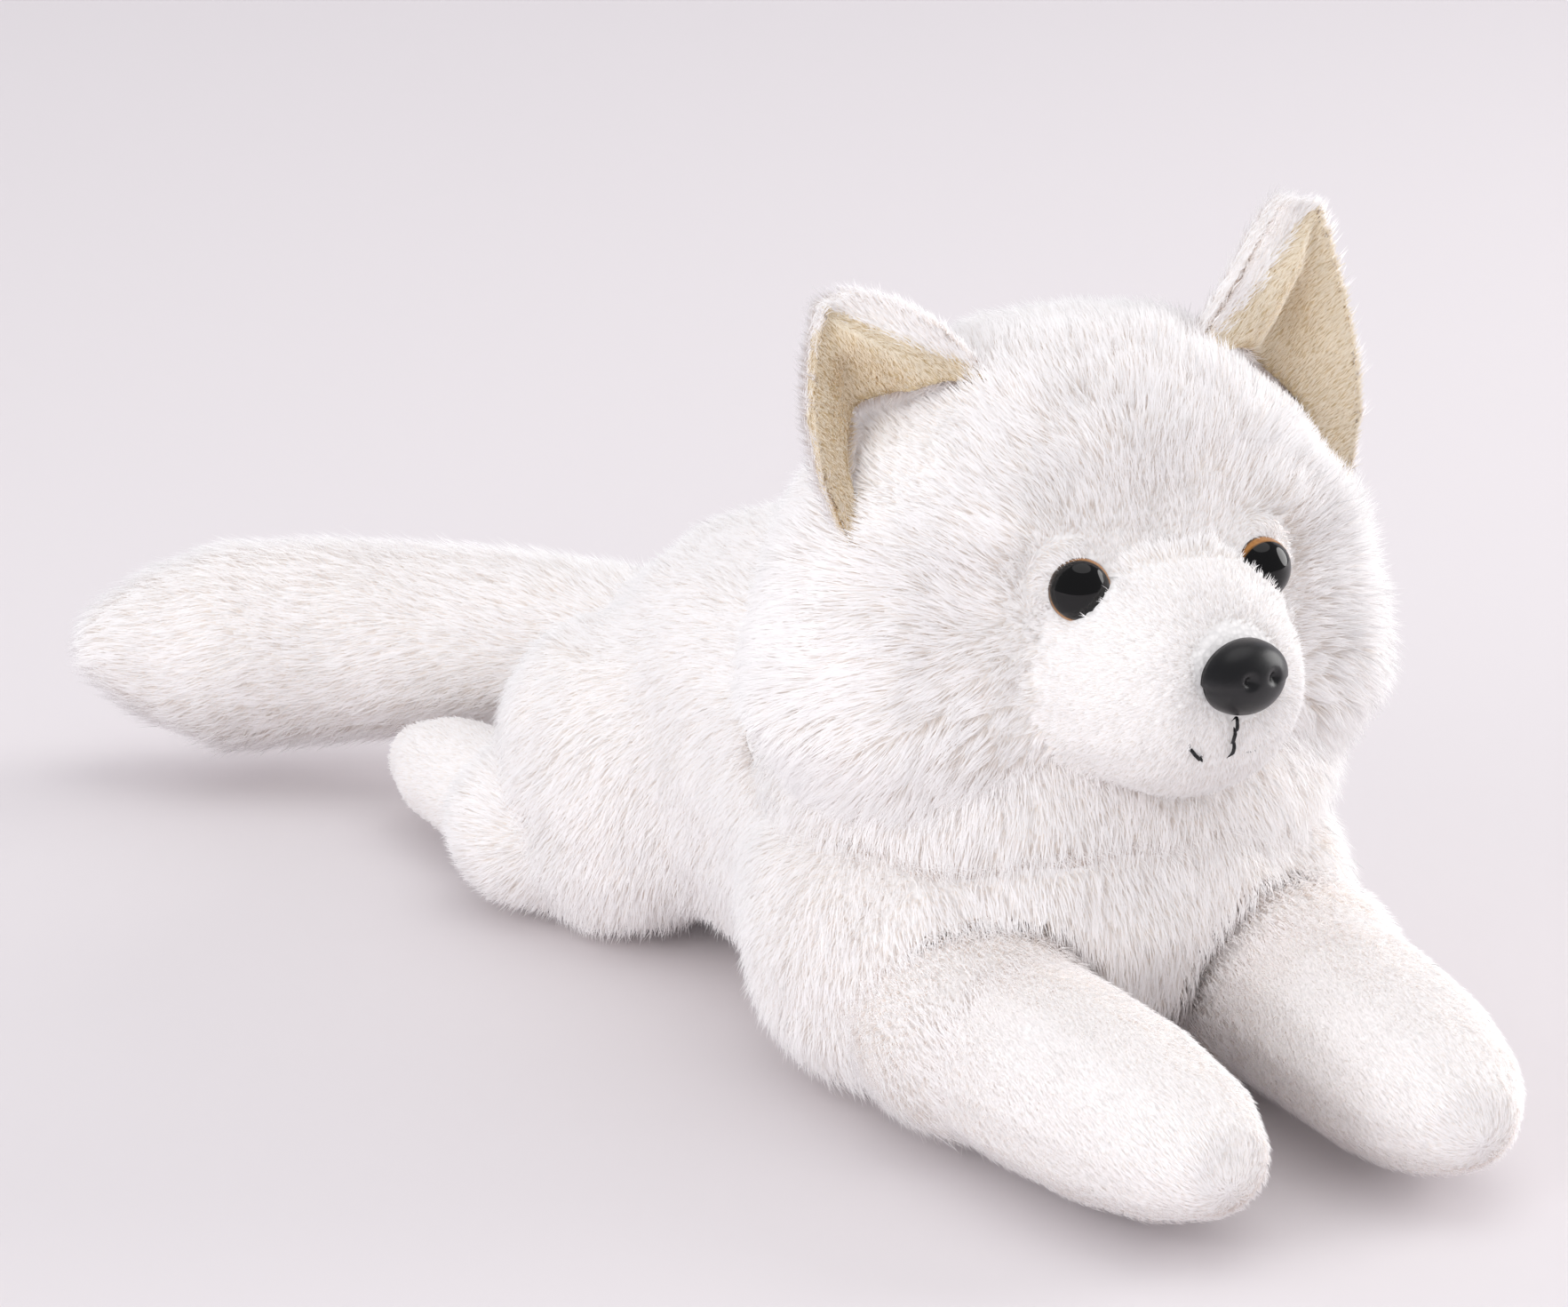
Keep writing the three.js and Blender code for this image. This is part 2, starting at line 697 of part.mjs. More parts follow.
// A cupped leaf between its root and its tip, thick between two depths behind its face.
function earLeaf(side, front, rear) {
  const inner = earRoot(side, earRootInner[earSide(side)]);
  const outer = earRoot(side, earRootOuter);
  const [out, back, raised] = earTip[earSide(side)];
  const tip = outer.clone().add(new THREE.Vector3(side * out, back, earHeight + raised));
  const rows = 6;
  const columns = 4;
  const at = (row, column, depth) => {
    const u = row / rows;
    const v = column / columns;
    const left = inner.clone().lerp(tip.clone().add(new THREE.Vector3(side * -5, 0, -1)), u);
    const right = outer.clone().lerp(tip.clone().add(new THREE.Vector3(side * 3, 0, -3)), u);
    left.add(new THREE.Vector3(side * -3 * u * (1 - u), 0, 8 * u * (1 - u)));
    right.add(new THREE.Vector3(side * 16 * u * (1 - u), 0, 0));
    const spot = left.lerp(right, v);
    spot.y += earCup * 4 * v * (1 - v) * (1 - 0.75 * u) + depth;
    return spot;
  };
  const positions = [];
  const index = [];
  const wide = columns + 1;
  for (const depth of [front, rear]) {
    for (let row = 0; row <= rows; row++) {
      for (let column = 0; column < wide; column++) {
        positions.push(...at(row, column, depth).toArray());
      }
    }
  }
  const layer = (rows + 1) * wide;
  const quad = (a, b, c, d) => (side > 0 ? index.push(a, b, c, a, c, d) : index.push(a, c, b, a, d, c));
  for (let row = 0; row < rows; row++) {
    for (let column = 0; column < columns; column++) {
      const a = row * wide + column;
      quad(a, a + 1, a + wide + 1, a + wide);
      quad(layer + a, layer + a + wide, layer + a + wide + 1, layer + a + 1);
    }
    const first = row * wide;
    const last = first + columns;
    quad(first, first + wide, layer + first + wide, layer + first);
    quad(last, layer + last, layer + last + wide, last + wide);
  }
  for (let column = 0; column < columns; column++) {
    const top = rows * wide + column;
    quad(column, layer + column, layer + column + 1, column + 1);
    quad(top, top + 1, layer + top + 1, layer + top);
  }
  const geometry = new THREE.BufferGeometry();
  geometry.setAttribute("position", new THREE.Float32BufferAttribute(positions, 3));
  geometry.setIndex(index);
  return geometry;
}

for (const [name, side] of Object.entries(sides)) {
  const inner = earRoot(side, earRootInner[name]);
  const outer = earRoot(side, earRootOuter);
  const hinge = outer.clone().sub(inner).multiplyScalar(side);
  const flex = turns(inner.toArray(), hinge.toArray(), steps(earFlex, 3));
  const headNear = swept(softForm(headShape, clearance), inverses(flex));
  const lining = solid(earLeaf(side, -shortPileWall, 0));
  const back = solid(earLeaf(side, clearance, clearance + earBackWall));
  add(head, `ear_lining_${name}`, cut(lining, headNear), "lining");
  add(head, `ear_back_${name}`, cut(back, headNear), "longPile");
}

// The origin is on the floor, under the middle of the whole dog.
dog.updateMatrixWorld(true);
const middle = new THREE.Box3().setFromObject(dog, true).getCenter(new THREE.Vector3());
dog.position.set(-middle.x, -middle.y, 0);

export default dog;
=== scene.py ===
import json
import math

import bmesh
import bpy
import numpy as np
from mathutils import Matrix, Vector
from mathutils.kdtree import KDTree

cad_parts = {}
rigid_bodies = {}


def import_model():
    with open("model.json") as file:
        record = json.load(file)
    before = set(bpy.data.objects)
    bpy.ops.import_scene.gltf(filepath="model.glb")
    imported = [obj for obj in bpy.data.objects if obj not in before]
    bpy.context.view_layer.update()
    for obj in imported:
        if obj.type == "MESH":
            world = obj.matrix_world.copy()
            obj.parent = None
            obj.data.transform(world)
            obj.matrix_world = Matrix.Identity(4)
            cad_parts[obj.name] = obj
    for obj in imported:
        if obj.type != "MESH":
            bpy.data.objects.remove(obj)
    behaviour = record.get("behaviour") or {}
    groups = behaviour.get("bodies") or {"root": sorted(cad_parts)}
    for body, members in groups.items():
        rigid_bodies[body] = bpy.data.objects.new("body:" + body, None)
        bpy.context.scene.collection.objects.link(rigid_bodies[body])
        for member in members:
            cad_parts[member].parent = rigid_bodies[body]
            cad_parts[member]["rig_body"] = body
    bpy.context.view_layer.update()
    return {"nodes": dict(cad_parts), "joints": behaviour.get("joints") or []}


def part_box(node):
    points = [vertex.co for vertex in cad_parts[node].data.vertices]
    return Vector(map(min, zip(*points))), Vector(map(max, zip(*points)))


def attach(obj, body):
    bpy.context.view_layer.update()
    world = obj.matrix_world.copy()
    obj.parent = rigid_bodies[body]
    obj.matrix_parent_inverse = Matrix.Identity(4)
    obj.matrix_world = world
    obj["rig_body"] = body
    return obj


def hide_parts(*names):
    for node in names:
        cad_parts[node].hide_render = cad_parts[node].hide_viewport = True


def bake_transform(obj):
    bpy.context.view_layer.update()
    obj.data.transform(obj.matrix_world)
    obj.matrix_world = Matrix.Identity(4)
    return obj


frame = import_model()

scene = bpy.context.scene
nodes = frame["nodes"]
joints = {joint["name"]: joint for joint in frame["joints"]}
mm = 0.001  # the pieces' sizes are in mm, the camera's and the studio's in metres


def pivotOf(jointName):
    return np.array(joints[jointName]["pos_m"])


neck = pivotOf("head_turn")  # the head turns and nods here
tailRoot = pivotOf("tail_swing")
sides = {"left": 1, "right": -1}


# ---- small helpers ----

def linearColour(hexColour):
    channels = [int(hexColour[i:i + 2], 16) / 255 for i in (1, 3, 5)]
    return [c / 12.92 if c <= 0.04045 else ((c + 0.055) / 1.055) ** 2.4 for c in channels] + [1]


def addNode(tree, kind, settings=None, inputs=None):
    node = tree.nodes.new(kind)
    for key, value in (settings or {}).items():
        setattr(node, key, value)
    for key, value in (inputs or {}).items():
        if isinstance(value, bpy.types.NodeSocket):
            tree.links.new(value, node.inputs[key])
        else:
            node.inputs[key].default_value = value
    return node


def newMaterial(name):
    material = bpy.data.materials.new(name)
    material.use_nodes = True
    material.node_tree.nodes.clear()
    return material, material.node_tree


def smooth(low, high, value):
    t = np.clip((value - low) / (high - low), 0, 1)
    return t * t * (3 - 2 * t)


def unit(vectors):
    return vectors / np.maximum(np.linalg.norm(vectors, axis=-1, keepdims=True), 1e-9)


def bell(points, centre, radii):
    # 1 at the centre of a soft oval, about a fifth at its radii, 0 well outside
    away = ((points - np.array(centre)) / np.array(radii)) ** 2
    return np.exp(-1.5 * away.sum(1))


def link(name, mesh):
    piece = bpy.data.objects.new(name, mesh)
    scene.collection.objects.link(piece)
    return piece


def coordinatesOf(mesh, what="co"):
    values = np.empty(len(mesh.vertices) * 3, np.float32)
    source = mesh.vertices if what == "co" else mesh.vertex_normals
    source.foreach_get("co" if what == "co" else "vector", values)
    return values.reshape(-1, 3).astype(float)


def moveVertices(mesh, points):
    mesh.vertices.foreach_set("co", np.ascontiguousarray(points, np.float32).ravel())
    mesh.update()


def meshFrom(name, points, faces):
    mesh = bpy.data.meshes.new(name)
    mesh.from_pydata([tuple(p) for p in points], [], faces)
    mesh.update()
    mesh.polygons.foreach_set("use_smooth", [True] * len(mesh.polygons))
    return mesh


# ---- camera ----

view = {
    "place": (-0.5934, -1.1841, 0.442),
    "downward": 15.9,
    "turned": 26.5,
    "lens": 157.7,
    "sensor": 36.0,
}
cameraData = bpy.data.cameras.new("camera")
cameraData.lens = view["lens"]
cameraData.sensor_width = view["sensor"]
cameraData.clip_start = 0.05
camera = link("camera", cameraData)
camera.location = view["place"]
camera.rotation_euler = (math.radians(90 - view["downward"]), 0, -math.radians(view["turned"]))
scene.camera = camera
print("camera placed")


# ---- floor, backdrop and light ----

studio = {
    # paper colours: the wall's is painted lighter and cooler than the floor's, as painted light
    "floor": "#ded9db",
    "wall": "#fafaff",
    "front": -1.2,
    "bend": 1.6,  # where the paper starts to curve up
    "bendRadius": 0.9,
    "bendSteps": 16,
    "halfWidth": 2.6,
    "height": 2.6,
    "ambient": 0.88,
    "reflectedAmbient": 0.3,  # what polished pieces see of it, as a dim room round the lamps
    "keyPower": 3.4,
    "rimPower": 12.5,
    "fillPower": 12.0,
    "aimHeight": 0.06,
}


def backdropPaper():
    # Matt seamless paper, dull, with painted light: its colour is painted lighter and a little cooler up the
    # wall than on the floor.
    material, tree = newMaterial("mattSeamlessPaper")
    place = addNode(tree, "ShaderNodeTexCoord")
    height = addNode(tree, "ShaderNodeSeparateXYZ", inputs={0: place.outputs["Object"]})
    # painted light: the paper goes from the floor's colour to the lighter wall's by height alone
    rise = addNode(tree, "ShaderNodeMapRange", {"interpolation_type": "SMOOTHSTEP"}, {
        "Value": height.outputs["Z"], "From Min": 0.0, "From Max": 0.7,
    })
    paintedWallLight = addNode(tree, "ShaderNodeMix", {"data_type": "RGBA"}, {
        0: rise.outputs[0],
        6: linearColour(studio["floor"]),
        7: linearColour(studio["wall"]),
    })
    paper = addNode(tree, "ShaderNodeBsdfPrincipled", inputs={
        "Base Color": paintedWallLight.outputs[2], "Roughness": 0.62, "Specular IOR Level": 0.35,
    })
    addNode(tree, "ShaderNodeOutputMaterial", inputs={"Surface": paper.outputs[0]})
    return material


def makeBackdrop():
    front, bend, radius = studio["front"], studio["bend"], studio["bendRadius"]
    profile = [(front, 0.0), (bend, 0.0)]
    for step in range(1, studio["bendSteps"] + 1):
        angle = math.pi / 2 * step / studio["bendSteps"]
        profile.append((bend + radius * math.sin(angle), radius * (1 - math.cos(angle))))
    profile.append((bend + radius, studio["height"]))
    points, faces = [], []
    for y, z in profile:
        points += [(-studio["halfWidth"], y, z), (studio["halfWidth"], y, z)]
    for i in range(len(profile) - 1):
        faces.append((2 * i, 2 * i + 1, 2 * i + 3, 2 * i + 2))
    paper = link("backdrop", meshFrom("backdrop", points, faces))
    paper.data.materials.append(backdropPaper())
    paper.rotation_euler = (0, 0, -math.radians(view["turned"]))


def softLight(name, place, size, power, colour, mirrored=True):
    light = bpy.data.lights.new(name, "AREA")
    light.shape = "DISK"
    light.size = size
    light.energy = power
    light.color = colour
    lamp = link(name, light)
    lamp.location = place
    lamp.visible_glossy = mirrored
    ray = Vector((0, 0, studio["aimHeight"])) - Vector(place)
    lamp.rotation_euler = ray.to_track_quat("-Z", "Y").to_euler()


makeBackdrop()
softLight("overheadSoftbox", (0.25, -0.1, 1.5), 1.3, studio["keyPower"], (1.0, 0.985, 0.98))
softLight("rightSoftbox", (1.5, -0.2, 0.55), 1.1, studio["rimPower"], (1.0, 0.99, 0.98))
softLight("leftFill", (-1.5, -0.75, 0.5), 1.3, studio["fillPower"], (0.97, 0.98, 1.0), False)
world = bpy.data.worlds.new("studioAir")
world.use_nodes = True
airLight = world.node_tree.nodes["Background"]
airLight.inputs[0].default_value = (0.985, 0.975, 1.0, 1)
airRay = addNode(world.node_tree, "ShaderNodeLightPath")
airStrength = addNode(world.node_tree, "ShaderNodeMapRange", inputs={
    "Value": airRay.outputs["Is Glossy Ray"],
    "To Min": studio["ambient"], "To Max": studio["reflectedAmbient"],
})
world.node_tree.links.new(airStrength.outputs[0], airLight.inputs[1])
scene.world = world
scene.view_settings.view_transform = "Standard"
scene.cycles.diffuse_bounces = 6  # light goes from fibre to fibre in white pile
print("studio lit")


# ---- materials of the cloth ----

cloth = {
    "whiteTip": "#fbf9f9",
    "whiteRoot": "#f2e9e1",
    "creamTip": "#f4ead8",
    "creamRoot": "#e0c9a0",
    "backing": "#f7f5f4",
    "creamBacking": "#dccaa9",
    "shadePatch": 22.0,  # mm across, where the pile leans and takes the light differently
    "knitStitch": 1.1,  # mm, the knitted backing's loops
    "lie": 0.72,  # how much a fibre is shaded by the lie of the pile rather than by itself
}


def brushedPile(name, tip, root, patchStrength):
    # Brushed polyester pile: fibres with a soft edge glow, a little duller at the root where
    # they shade each other. Light passes to a fibre's far side.
    material, tree = newMaterial(name)
    along = addNode(tree, "ShaderNodeAttribute", {"attribute_name": "along"})
    strand = addNode(tree, "ShaderNodeAttribute", {"attribute_name": "strand"})
    place = addNode(tree, "ShaderNodeTexCoord")
    patches = addNode(tree, "ShaderNodeTexNoise", inputs={
        "Vector": place.outputs["Object"], "Scale": 1 / (cloth["shadePatch"] * mm), "Detail": 2.0,
    })
    rise = addNode(tree, "ShaderNodeMapRange", {"interpolation_type": "SMOOTHSTEP"}, {
        "Value": along.outputs["Fac"], "From Min": 0.0, "From Max": 0.7,
    })
    colour = addNode(tree, "ShaderNodeMix", {"data_type": "RGBA"}, {
        0: rise.outputs[0], 6: linearColour(root), 7: linearColour(tip),
    })
    mixed = addNode(tree, "ShaderNodeMath", {"operation": "MULTIPLY_ADD"}, {
        0: strand.outputs["Fac"], 1: 0.5, 2: patches.outputs["Fac"],
    })
    tone = addNode(tree, "ShaderNodeMapRange", inputs={
        "Value": mixed.outputs[0], "From Min": 0.4, "From Max": 1.1,
        "To Min": 1 - patchStrength, "To Max": 1.0,
    })
    toned = addNode(tree, "ShaderNodeVectorMath", {"operation": "SCALE"}, {
        0: colour.outputs[2], "Scale": tone.outputs[0],
    })
    lie = addNode(tree, "ShaderNodeAttribute", {"attribute_name": "lie"})
    outward = addNode(tree, "ShaderNodeVectorTransform", {
        "vector_type": "NORMAL", "convert_from": "OBJECT", "convert_to": "WORLD",
    }, {0: lie.outputs["Vector"]})
    own = addNode(tree, "ShaderNodeNewGeometry")
    facing = addNode(tree, "ShaderNodeMapRange", inputs={
        "Value": own.outputs["Backfacing"], "To Min": 1.0, "To Max": -1.0,
    })
    front = addNode(tree, "ShaderNodeVectorMath", {"operation": "SCALE"}, {
        0: own.outputs["Normal"], "Scale": facing.outputs[0],
    })
    between = addNode(tree, "ShaderNodeMix", {"data_type": "VECTOR"}, {
        0: cloth["lie"], 4: front.outputs[0], 5: outward.outputs[0],
    })
    leaning = addNode(tree, "ShaderNodeVectorMath", {"operation": "NORMALIZE"}, {
        0: between.outputs[1],
    })
    behind = addNode(tree, "ShaderNodeVectorMath", {"operation": "SCALE"}, {
        0: leaning.outputs[0], "Scale": -1.0,
    })
    fibre = addNode(tree, "ShaderNodeBsdfPrincipled", inputs={
        "Base Color": toned.outputs[0],
        "Roughness": 0.55,
        "Specular IOR Level": 0.25,
        "Sheen Weight": 0.3,
        "Sheen Roughness": 0.4,
        "Normal": leaning.outputs[0],
    })
    through = addNode(tree, "ShaderNodeBsdfTranslucent", inputs={
        "Color": toned.outputs[0], "Normal": behind.outputs[0],
    })
    thin = addNode(tree, "ShaderNodeMixShader", inputs={
        0: own.outputs["Backfacing"], 1: fibre.outputs[0], 2: through.outputs[0],
    })
    addNode(tree, "ShaderNodeOutputMaterial", inputs={"Surface": thin.outputs[0]})
    return material


def knittedBacking(name, hexColour):
    # Knitted polyester ground cloth under the pile: fine loops that only show where it parts.
    material, tree = newMaterial(name)
    place = addNode(tree, "ShaderNodeTexCoord")
    loops = addNode(tree, "ShaderNodeTexVoronoi", inputs={
        "Vector": place.outputs["Object"], "Scale": 1 / (cloth["knitStitch"] * mm),
    })
    shade = addNode(tree, "ShaderNodeMapRange", inputs={
        "Value": loops.outputs["Distance"], "From Min": 0.0, "From Max": 0.8,
        "To Min": 1.0, "To Max": 0.86,
    })
    colour = addNode(tree, "ShaderNodeVectorMath", {"operation": "SCALE"}, {
        0: linearColour(hexColour)[:3], "Scale": shade.outputs[0],
    })
    bump = addNode(tree, "ShaderNodeBump", inputs={
        "Strength": 0.5, "Distance": 0.0004, "Height": loops.outputs["Distance"],
    })
    ground = addNode(tree, "ShaderNodeBsdfPrincipled", inputs={
        "Base Color": colour.outputs[0],
        "Roughness": 0.9,
        "Specular IOR Level": 0.2,
        "Normal": bump.outputs[0],
    })
    addNode(tree, "ShaderNodeOutputMaterial", inputs={"Surface": ground.outputs[0]})
    return material


whitePile = brushedPile("brushedPolyesterPile", cloth["whiteTip"], cloth["whiteRoot"], 0.045)
creamPile = brushedPile("shearedCreamPile", cloth["creamTip"], cloth["creamRoot"], 0.12)
whiteGround = knittedBacking("whiteKnittedBacking", cloth["backing"])
creamGround = knittedBacking("creamKnittedBacking", cloth["creamBacking"])


# ---- stuffed skins, made from the frame's own solids ----

def onlyLargestShell(mesh):
    bm = bmesh.new()
    bm.from_mesh(mesh)
    unseen = set(bm.verts)
    shells = []
    while unseen:
        first = next(iter(unseen))
        unseen.discard(first)
        shell, edge = [first], [first]
        while edge:
            vertex = edge.pop()
            for e in vertex.link_edges:
                other = e.other_vert(vertex)
                if other in unseen:
                    unseen.discard(other)
                    shell.append(other)
                    edge.append(other)
        shells.append(shell)
    shells.sort(key=len)
    bmesh.ops.delete(bm, geom=[v for shell in shells[:-1] for v in shell], context="VERTS")
    bm.to_mesh(mesh)
    bm.free()


def applied(piece):
    view3d = bpy.context.evaluated_depsgraph_get()
    mesh = bpy.data.meshes.new_from_object(piece.evaluated_get(view3d))
    piece.modifiers.clear()
    piece.data = mesh
    return mesh


def joinedSolids(name, parts, extra=()):
    bm = bmesh.new()
    for part in parts:
        bm.from_mesh(nodes[part].data)
    for mesh in extra:
        bm.from_mesh(mesh)
    bmesh.ops.remove_doubles(bm, verts=bm.verts, dist=1e-5)
    mesh = bpy.data.meshes.new(name)
    bm.to_mesh(mesh)
    bm.free()
    return link(name, mesh)


def oval(centre, radii, segments=32):
    bm = bmesh.new()
    bmesh.ops.create_uvsphere(bm, u_segments=segments, v_segments=segments // 2, radius=1)
    mesh = bpy.data.meshes.new("oval")
    bm.to_mesh(mesh)
    bm.free()
    moveVertices(mesh, coordinatesOf(mesh) * np.array(radii) + np.array(centre))
    return mesh


stuffing = {
    "relaxed": 0.5,  # how far each pass draws a point to its neighbours
    "settling": 6,
    "aboveFloor": 1.2,
}


def smoothShaded(mesh):
    mesh.polygons.foreach_set("use_smooth", [True] * len(mesh.polygons))


def stuffedSkin(name, parts, skin, extra=()):
    # The cloth's surface under the pile: the solids grown until their seams close, made one,
    # relaxed as stuffing relaxes a sewn cover, and drawn in by the height of the pile.
    piece = joinedSolids(name, parts, extra)
    grow = piece.modifiers.new("grow", "DISPLACE")
    grow.strength, grow.mid_level = skin["closing"] * mm, 0
    voxels = piece.modifiers.new("voxels", "REMESH")
    voxels.mode, voxels.voxel_size = "VOXEL", skin["voxel"] * mm
    mesh = applied(piece)
    onlyLargestShell(mesh)
    relax = piece.modifiers.new("relax", "SMOOTH")
    relax.factor, relax.iterations = stuffing["relaxed"], skin["relaxing"]
    shrink = piece.modifiers.new("shrink", "DISPLACE")
    shrink.strength, shrink.mid_level = -(skin["closing"] + skin["inset"]) * mm, 0
    settle = piece.modifiers.new("settle", "SMOOTH")
    settle.factor, settle.iterations = stuffing["relaxed"], stuffing["settling"]
    mesh = applied(piece)
    points = coordinatesOf(mesh)
    points[:, 2] = np.maximum(points[:, 2], stuffing["aboveFloor"] * mm)
    moveVertices(mesh, points)
    smoothShaded(mesh)
    mesh.materials.append(whiteGround)
    return piece


def finishSkin(piece, body, replaced):
    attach(piece, body)
    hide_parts(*replaced)


# ---- pile: every fibre is a thin tapered blade of its own, bent once ----

share = 1.0
mostFibres = 60000  # in one piece
underside = {"sparser": 0.9, "facing": -0.8, "below": 8.0}  # the pile pressed on the floor
fibreShape = {
    "rootDepth": 0.4,  # how far a fibre starts inside the cloth
    "overFloor": (0.15, 0.3),  # the least, and how much more at random
    "bendWidth": 0.8,  # share of the root's width
    "widths": (0.75, 1.15),
    "roll": 0.4,
    "mostGather": 0.45,  # share of the fibre's length
    "bendGather": 0.3,  # share of the tip's own gathering
}


def wander(points, size, seed):
    # smooth vectors that change over about that size
    rng = np.random.default_rng(seed)
    waves = unit(rng.normal(size=(9, 3))) * (2 * math.pi / size) * rng.uniform(0.6, 1.5, (9, 1))
    phases = rng.uniform(0, 2 * math.pi, (3, 9))
    angle = points @ waves.T
    return np.stack([np.sin(angle + phase).sum(1) for phase in phases], 1) / 4


def scatter(mesh, perSquareCm, rng, thinning):
    mesh.calc_loop_triangles()
    corners = np.empty(len(mesh.loop_triangles) * 3, np.int32)
    mesh.loop_triangles.foreach_get("vertices", corners)
    corners = corners.reshape(-1, 3)
    points, normals = coordinatesOf(mesh), coordinatesOf(mesh, "normal")
    a, b, c = (points[corners[:, i]] for i in range(3))
    weight = np.linalg.norm(np.cross(b - a, c - a), axis=1) / 2
    middles = (a + b + c) / 3
    facing = unit(normals[corners].sum(1))
    pressed = (facing[:, 2] < underside["facing"]) * (middles[:, 2] < underside["below"] * mm)
    under = 1 - underside["sparser"] * pressed
    weight = weight * under * (1 if thinning is None else thinning(middles, facing))
    count = int(weight.sum() * 1e4 * perSquareCm * share)
    chosen = rng.choice(len(corners), count, p=weight / weight.sum())
    u, v = rng.random(count), rng.random(count)
    flip = u + v > 1
    u[flip], v[flip] = 1 - u[flip], 1 - v[flip]
    w = 1 - u - v
    k = corners[chosen]
    shares = np.stack([w, u, v], 1)[:, :, None]
    return (points[k] * shares).sum(1), unit((normals[k] * shares).sum(1))


def tuftsOf(roots, spacing, rng):
    count = max(1, int(len(roots) * min(1.0, 1 / spacing)))
    picked = rng.choice(len(roots), count, replace=False)
    tree = KDTree(count)
    for i, k in enumerate(picked):
        tree.insert(roots[k], i)
    tree.balance()
    return picked[np.array([tree.find(root)[1] for root in roots])]


def growPile(name, skin, body, pile, flow, seed, material=None, lengthAt=None, thinning=None,
             clumping=None):
    rng = np.random.default_rng(seed)
    roots, normals = scatter(skin.data, pile["perSquareCm"], rng, thinning)
    count = len(roots)
    lean = flow(roots, normals) + wander(roots, pile["swirl"] * mm, seed) * pile["swirling"]
    lean = lean - normals * (lean * normals).sum(1, keepdims=True)
    lean = unit(lean + 1e-6)
    loose = rng.normal(size=(count, 3)) * pile["loose"]
    reach = pile["length"] * mm * rng.uniform(1 - pile["uneven"], 1 + pile["uneven"] * 0.5, count)
    if lengthAt is not None:
        reach = reach * lengthAt(roots)
    lift = pile["lift"] + 0.25 * wander(roots, pile["swirl"] * 0.6 * mm, seed + 50)[:, :1] * pile["swirling"]
    first = unit(normals * (lift + 0.3) + lean * (1 - lift) * 0.8 + loose * 0.6)
    second = unit(normals * (lift - 0.15) + lean * (1.1 - lift) + loose)
    start = roots - normals * fibreShape["rootDepth"] * mm
    bend = start + first * (reach * 0.5)[:, None]
    tip = bend + second * (reach * 0.5)[:, None]
    tuft = tuftsOf(roots, pile["perTuft"], rng)
    pull = pile["tufting"] * rng.uniform(0.6, 1.1, (count, 1))
    if clumping is not None:
        pull = pull * (1 + clumping(roots)[:, None])
    gather = (tip[tuft] - tip) * pull
    far = np.linalg.norm(gather, axis=1, keepdims=True)
    most = fibreShape["mostGather"] * reach[:, None]
    gather = gather * np.minimum(1, most / np.maximum(far, 1e-9))
    tip = tip + gather
    bend = bend + gather * fibreShape["bendGather"]
    across = unit(np.cross(second, normals) + 1e-6)
    over = unit(np.cross(across, second))
    roll = rng.normal(size=(count, 1)) * fibreShape["roll"]
    half = (across * np.cos(roll) + over * np.sin(roll)) * pile["width"] * mm / 2
    half = half * rng.uniform(*fibreShape["widths"], (count, 1))
    narrow = half * fibreShape["bendWidth"]
    corners = np.stack([start - half, start + half, bend + narrow, bend - narrow, tip], 1)
    least, more = fibreShape["overFloor"]
    corners[..., 2] = np.maximum(corners[..., 2], least * mm + more * mm * rng.random((count, 1)))
    strand = rng.random(count)
    order = np.argsort(roots[:, 1] + 0.15 * roots[:, 0], kind="stable")
    parts = max(1, math.ceil(count / mostFibres))
    for number, chosen in enumerate(np.array_split(order, parts)):
        pieceName = name if parts == 1 else f"{name}_{number + 1}"
        piece = fibreMesh(pieceName, corners[chosen], strand[chosen], normals[chosen])
        piece.data.materials.append(material or whitePile)
        if isinstance(body, tuple):
            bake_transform(piece)
        else:
            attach(piece, body)
    print(f"{name}: {count} fibres in {parts}")


def fibreMesh(name, corners, strand, outward):
    count = len(corners)
    loops = (np.arange(count)[:, None] * 5 + np.array([[0, 1, 2, 3, 3, 2, 4]])).ravel()
    sizes = np.tile([4, 3], count)
    mesh = bpy.data.meshes.new(name)
    mesh.vertices.add(count * 5)
    mesh.vertices.foreach_set("co", corners.astype(np.float32).ravel())
    mesh.loops.add(len(loops))
    mesh.loops.foreach_set("vertex_index", loops.astype(np.int32))
    mesh.polygons.add(len(sizes))
    mesh.polygons.foreach_set("loop_start", (np.cumsum(sizes) - sizes).astype(np.int32))
    mesh.polygons.foreach_set("use_smooth", np.ones(len(sizes), bool))
    mesh.update(calc_edges=True)
    along = mesh.attributes.new("along", "FLOAT", "POINT")
    along.data.foreach_set("value", np.tile([0, 0, 0.5, 0.5, 1], count).astype(np.float32))
    tone = mesh.attributes.new("strand", "FLOAT", "POINT")
    tone.data.foreach_set("value", np.repeat(strand, 5).astype(np.float32))
    lie = mesh.attributes.new("lie", "FLOAT_VECTOR", "POINT")
    lie.data.foreach_set("vector", np.repeat(outward, 5, axis=0).astype(np.float32).ravel())
    return link(name, mesh)


longPile = {
    "perSquareCm": 340, "length": 8.2, "width": 0.26, "lift": 0.4, "uneven": 0.3, "loose": 0.12,
    "swirl": 26.0, "swirling": 0.28, "perTuft": 70, "tufting": 0.16,
}
bodyPile = {**longPile, "perSquareCm": 270, "length": 7.2, "lift": 0.34, "perTuft": 40, "tufting": 0.07,
            "swirling": 0.2}
pawPile = {**longPile, "perSquareCm": 520, "length": 3.6, "width": 0.22, "lift": 0.22, "loose": 0.1,
           "perTuft": 30, "tufting": 0.04, "swirling": 0.1}
muzzlePileSizes = {**longPile, "perSquareCm": 800, "length": 2.6, "width": 0.2, "lift": 0.35,
                   "loose": 0.14, "perTuft": 16, "tufting": 0.04, "swirling": 0.12}
earBackPile = {**pawPile, "length": 4.4, "width": 0.24, "lift": 0.25}
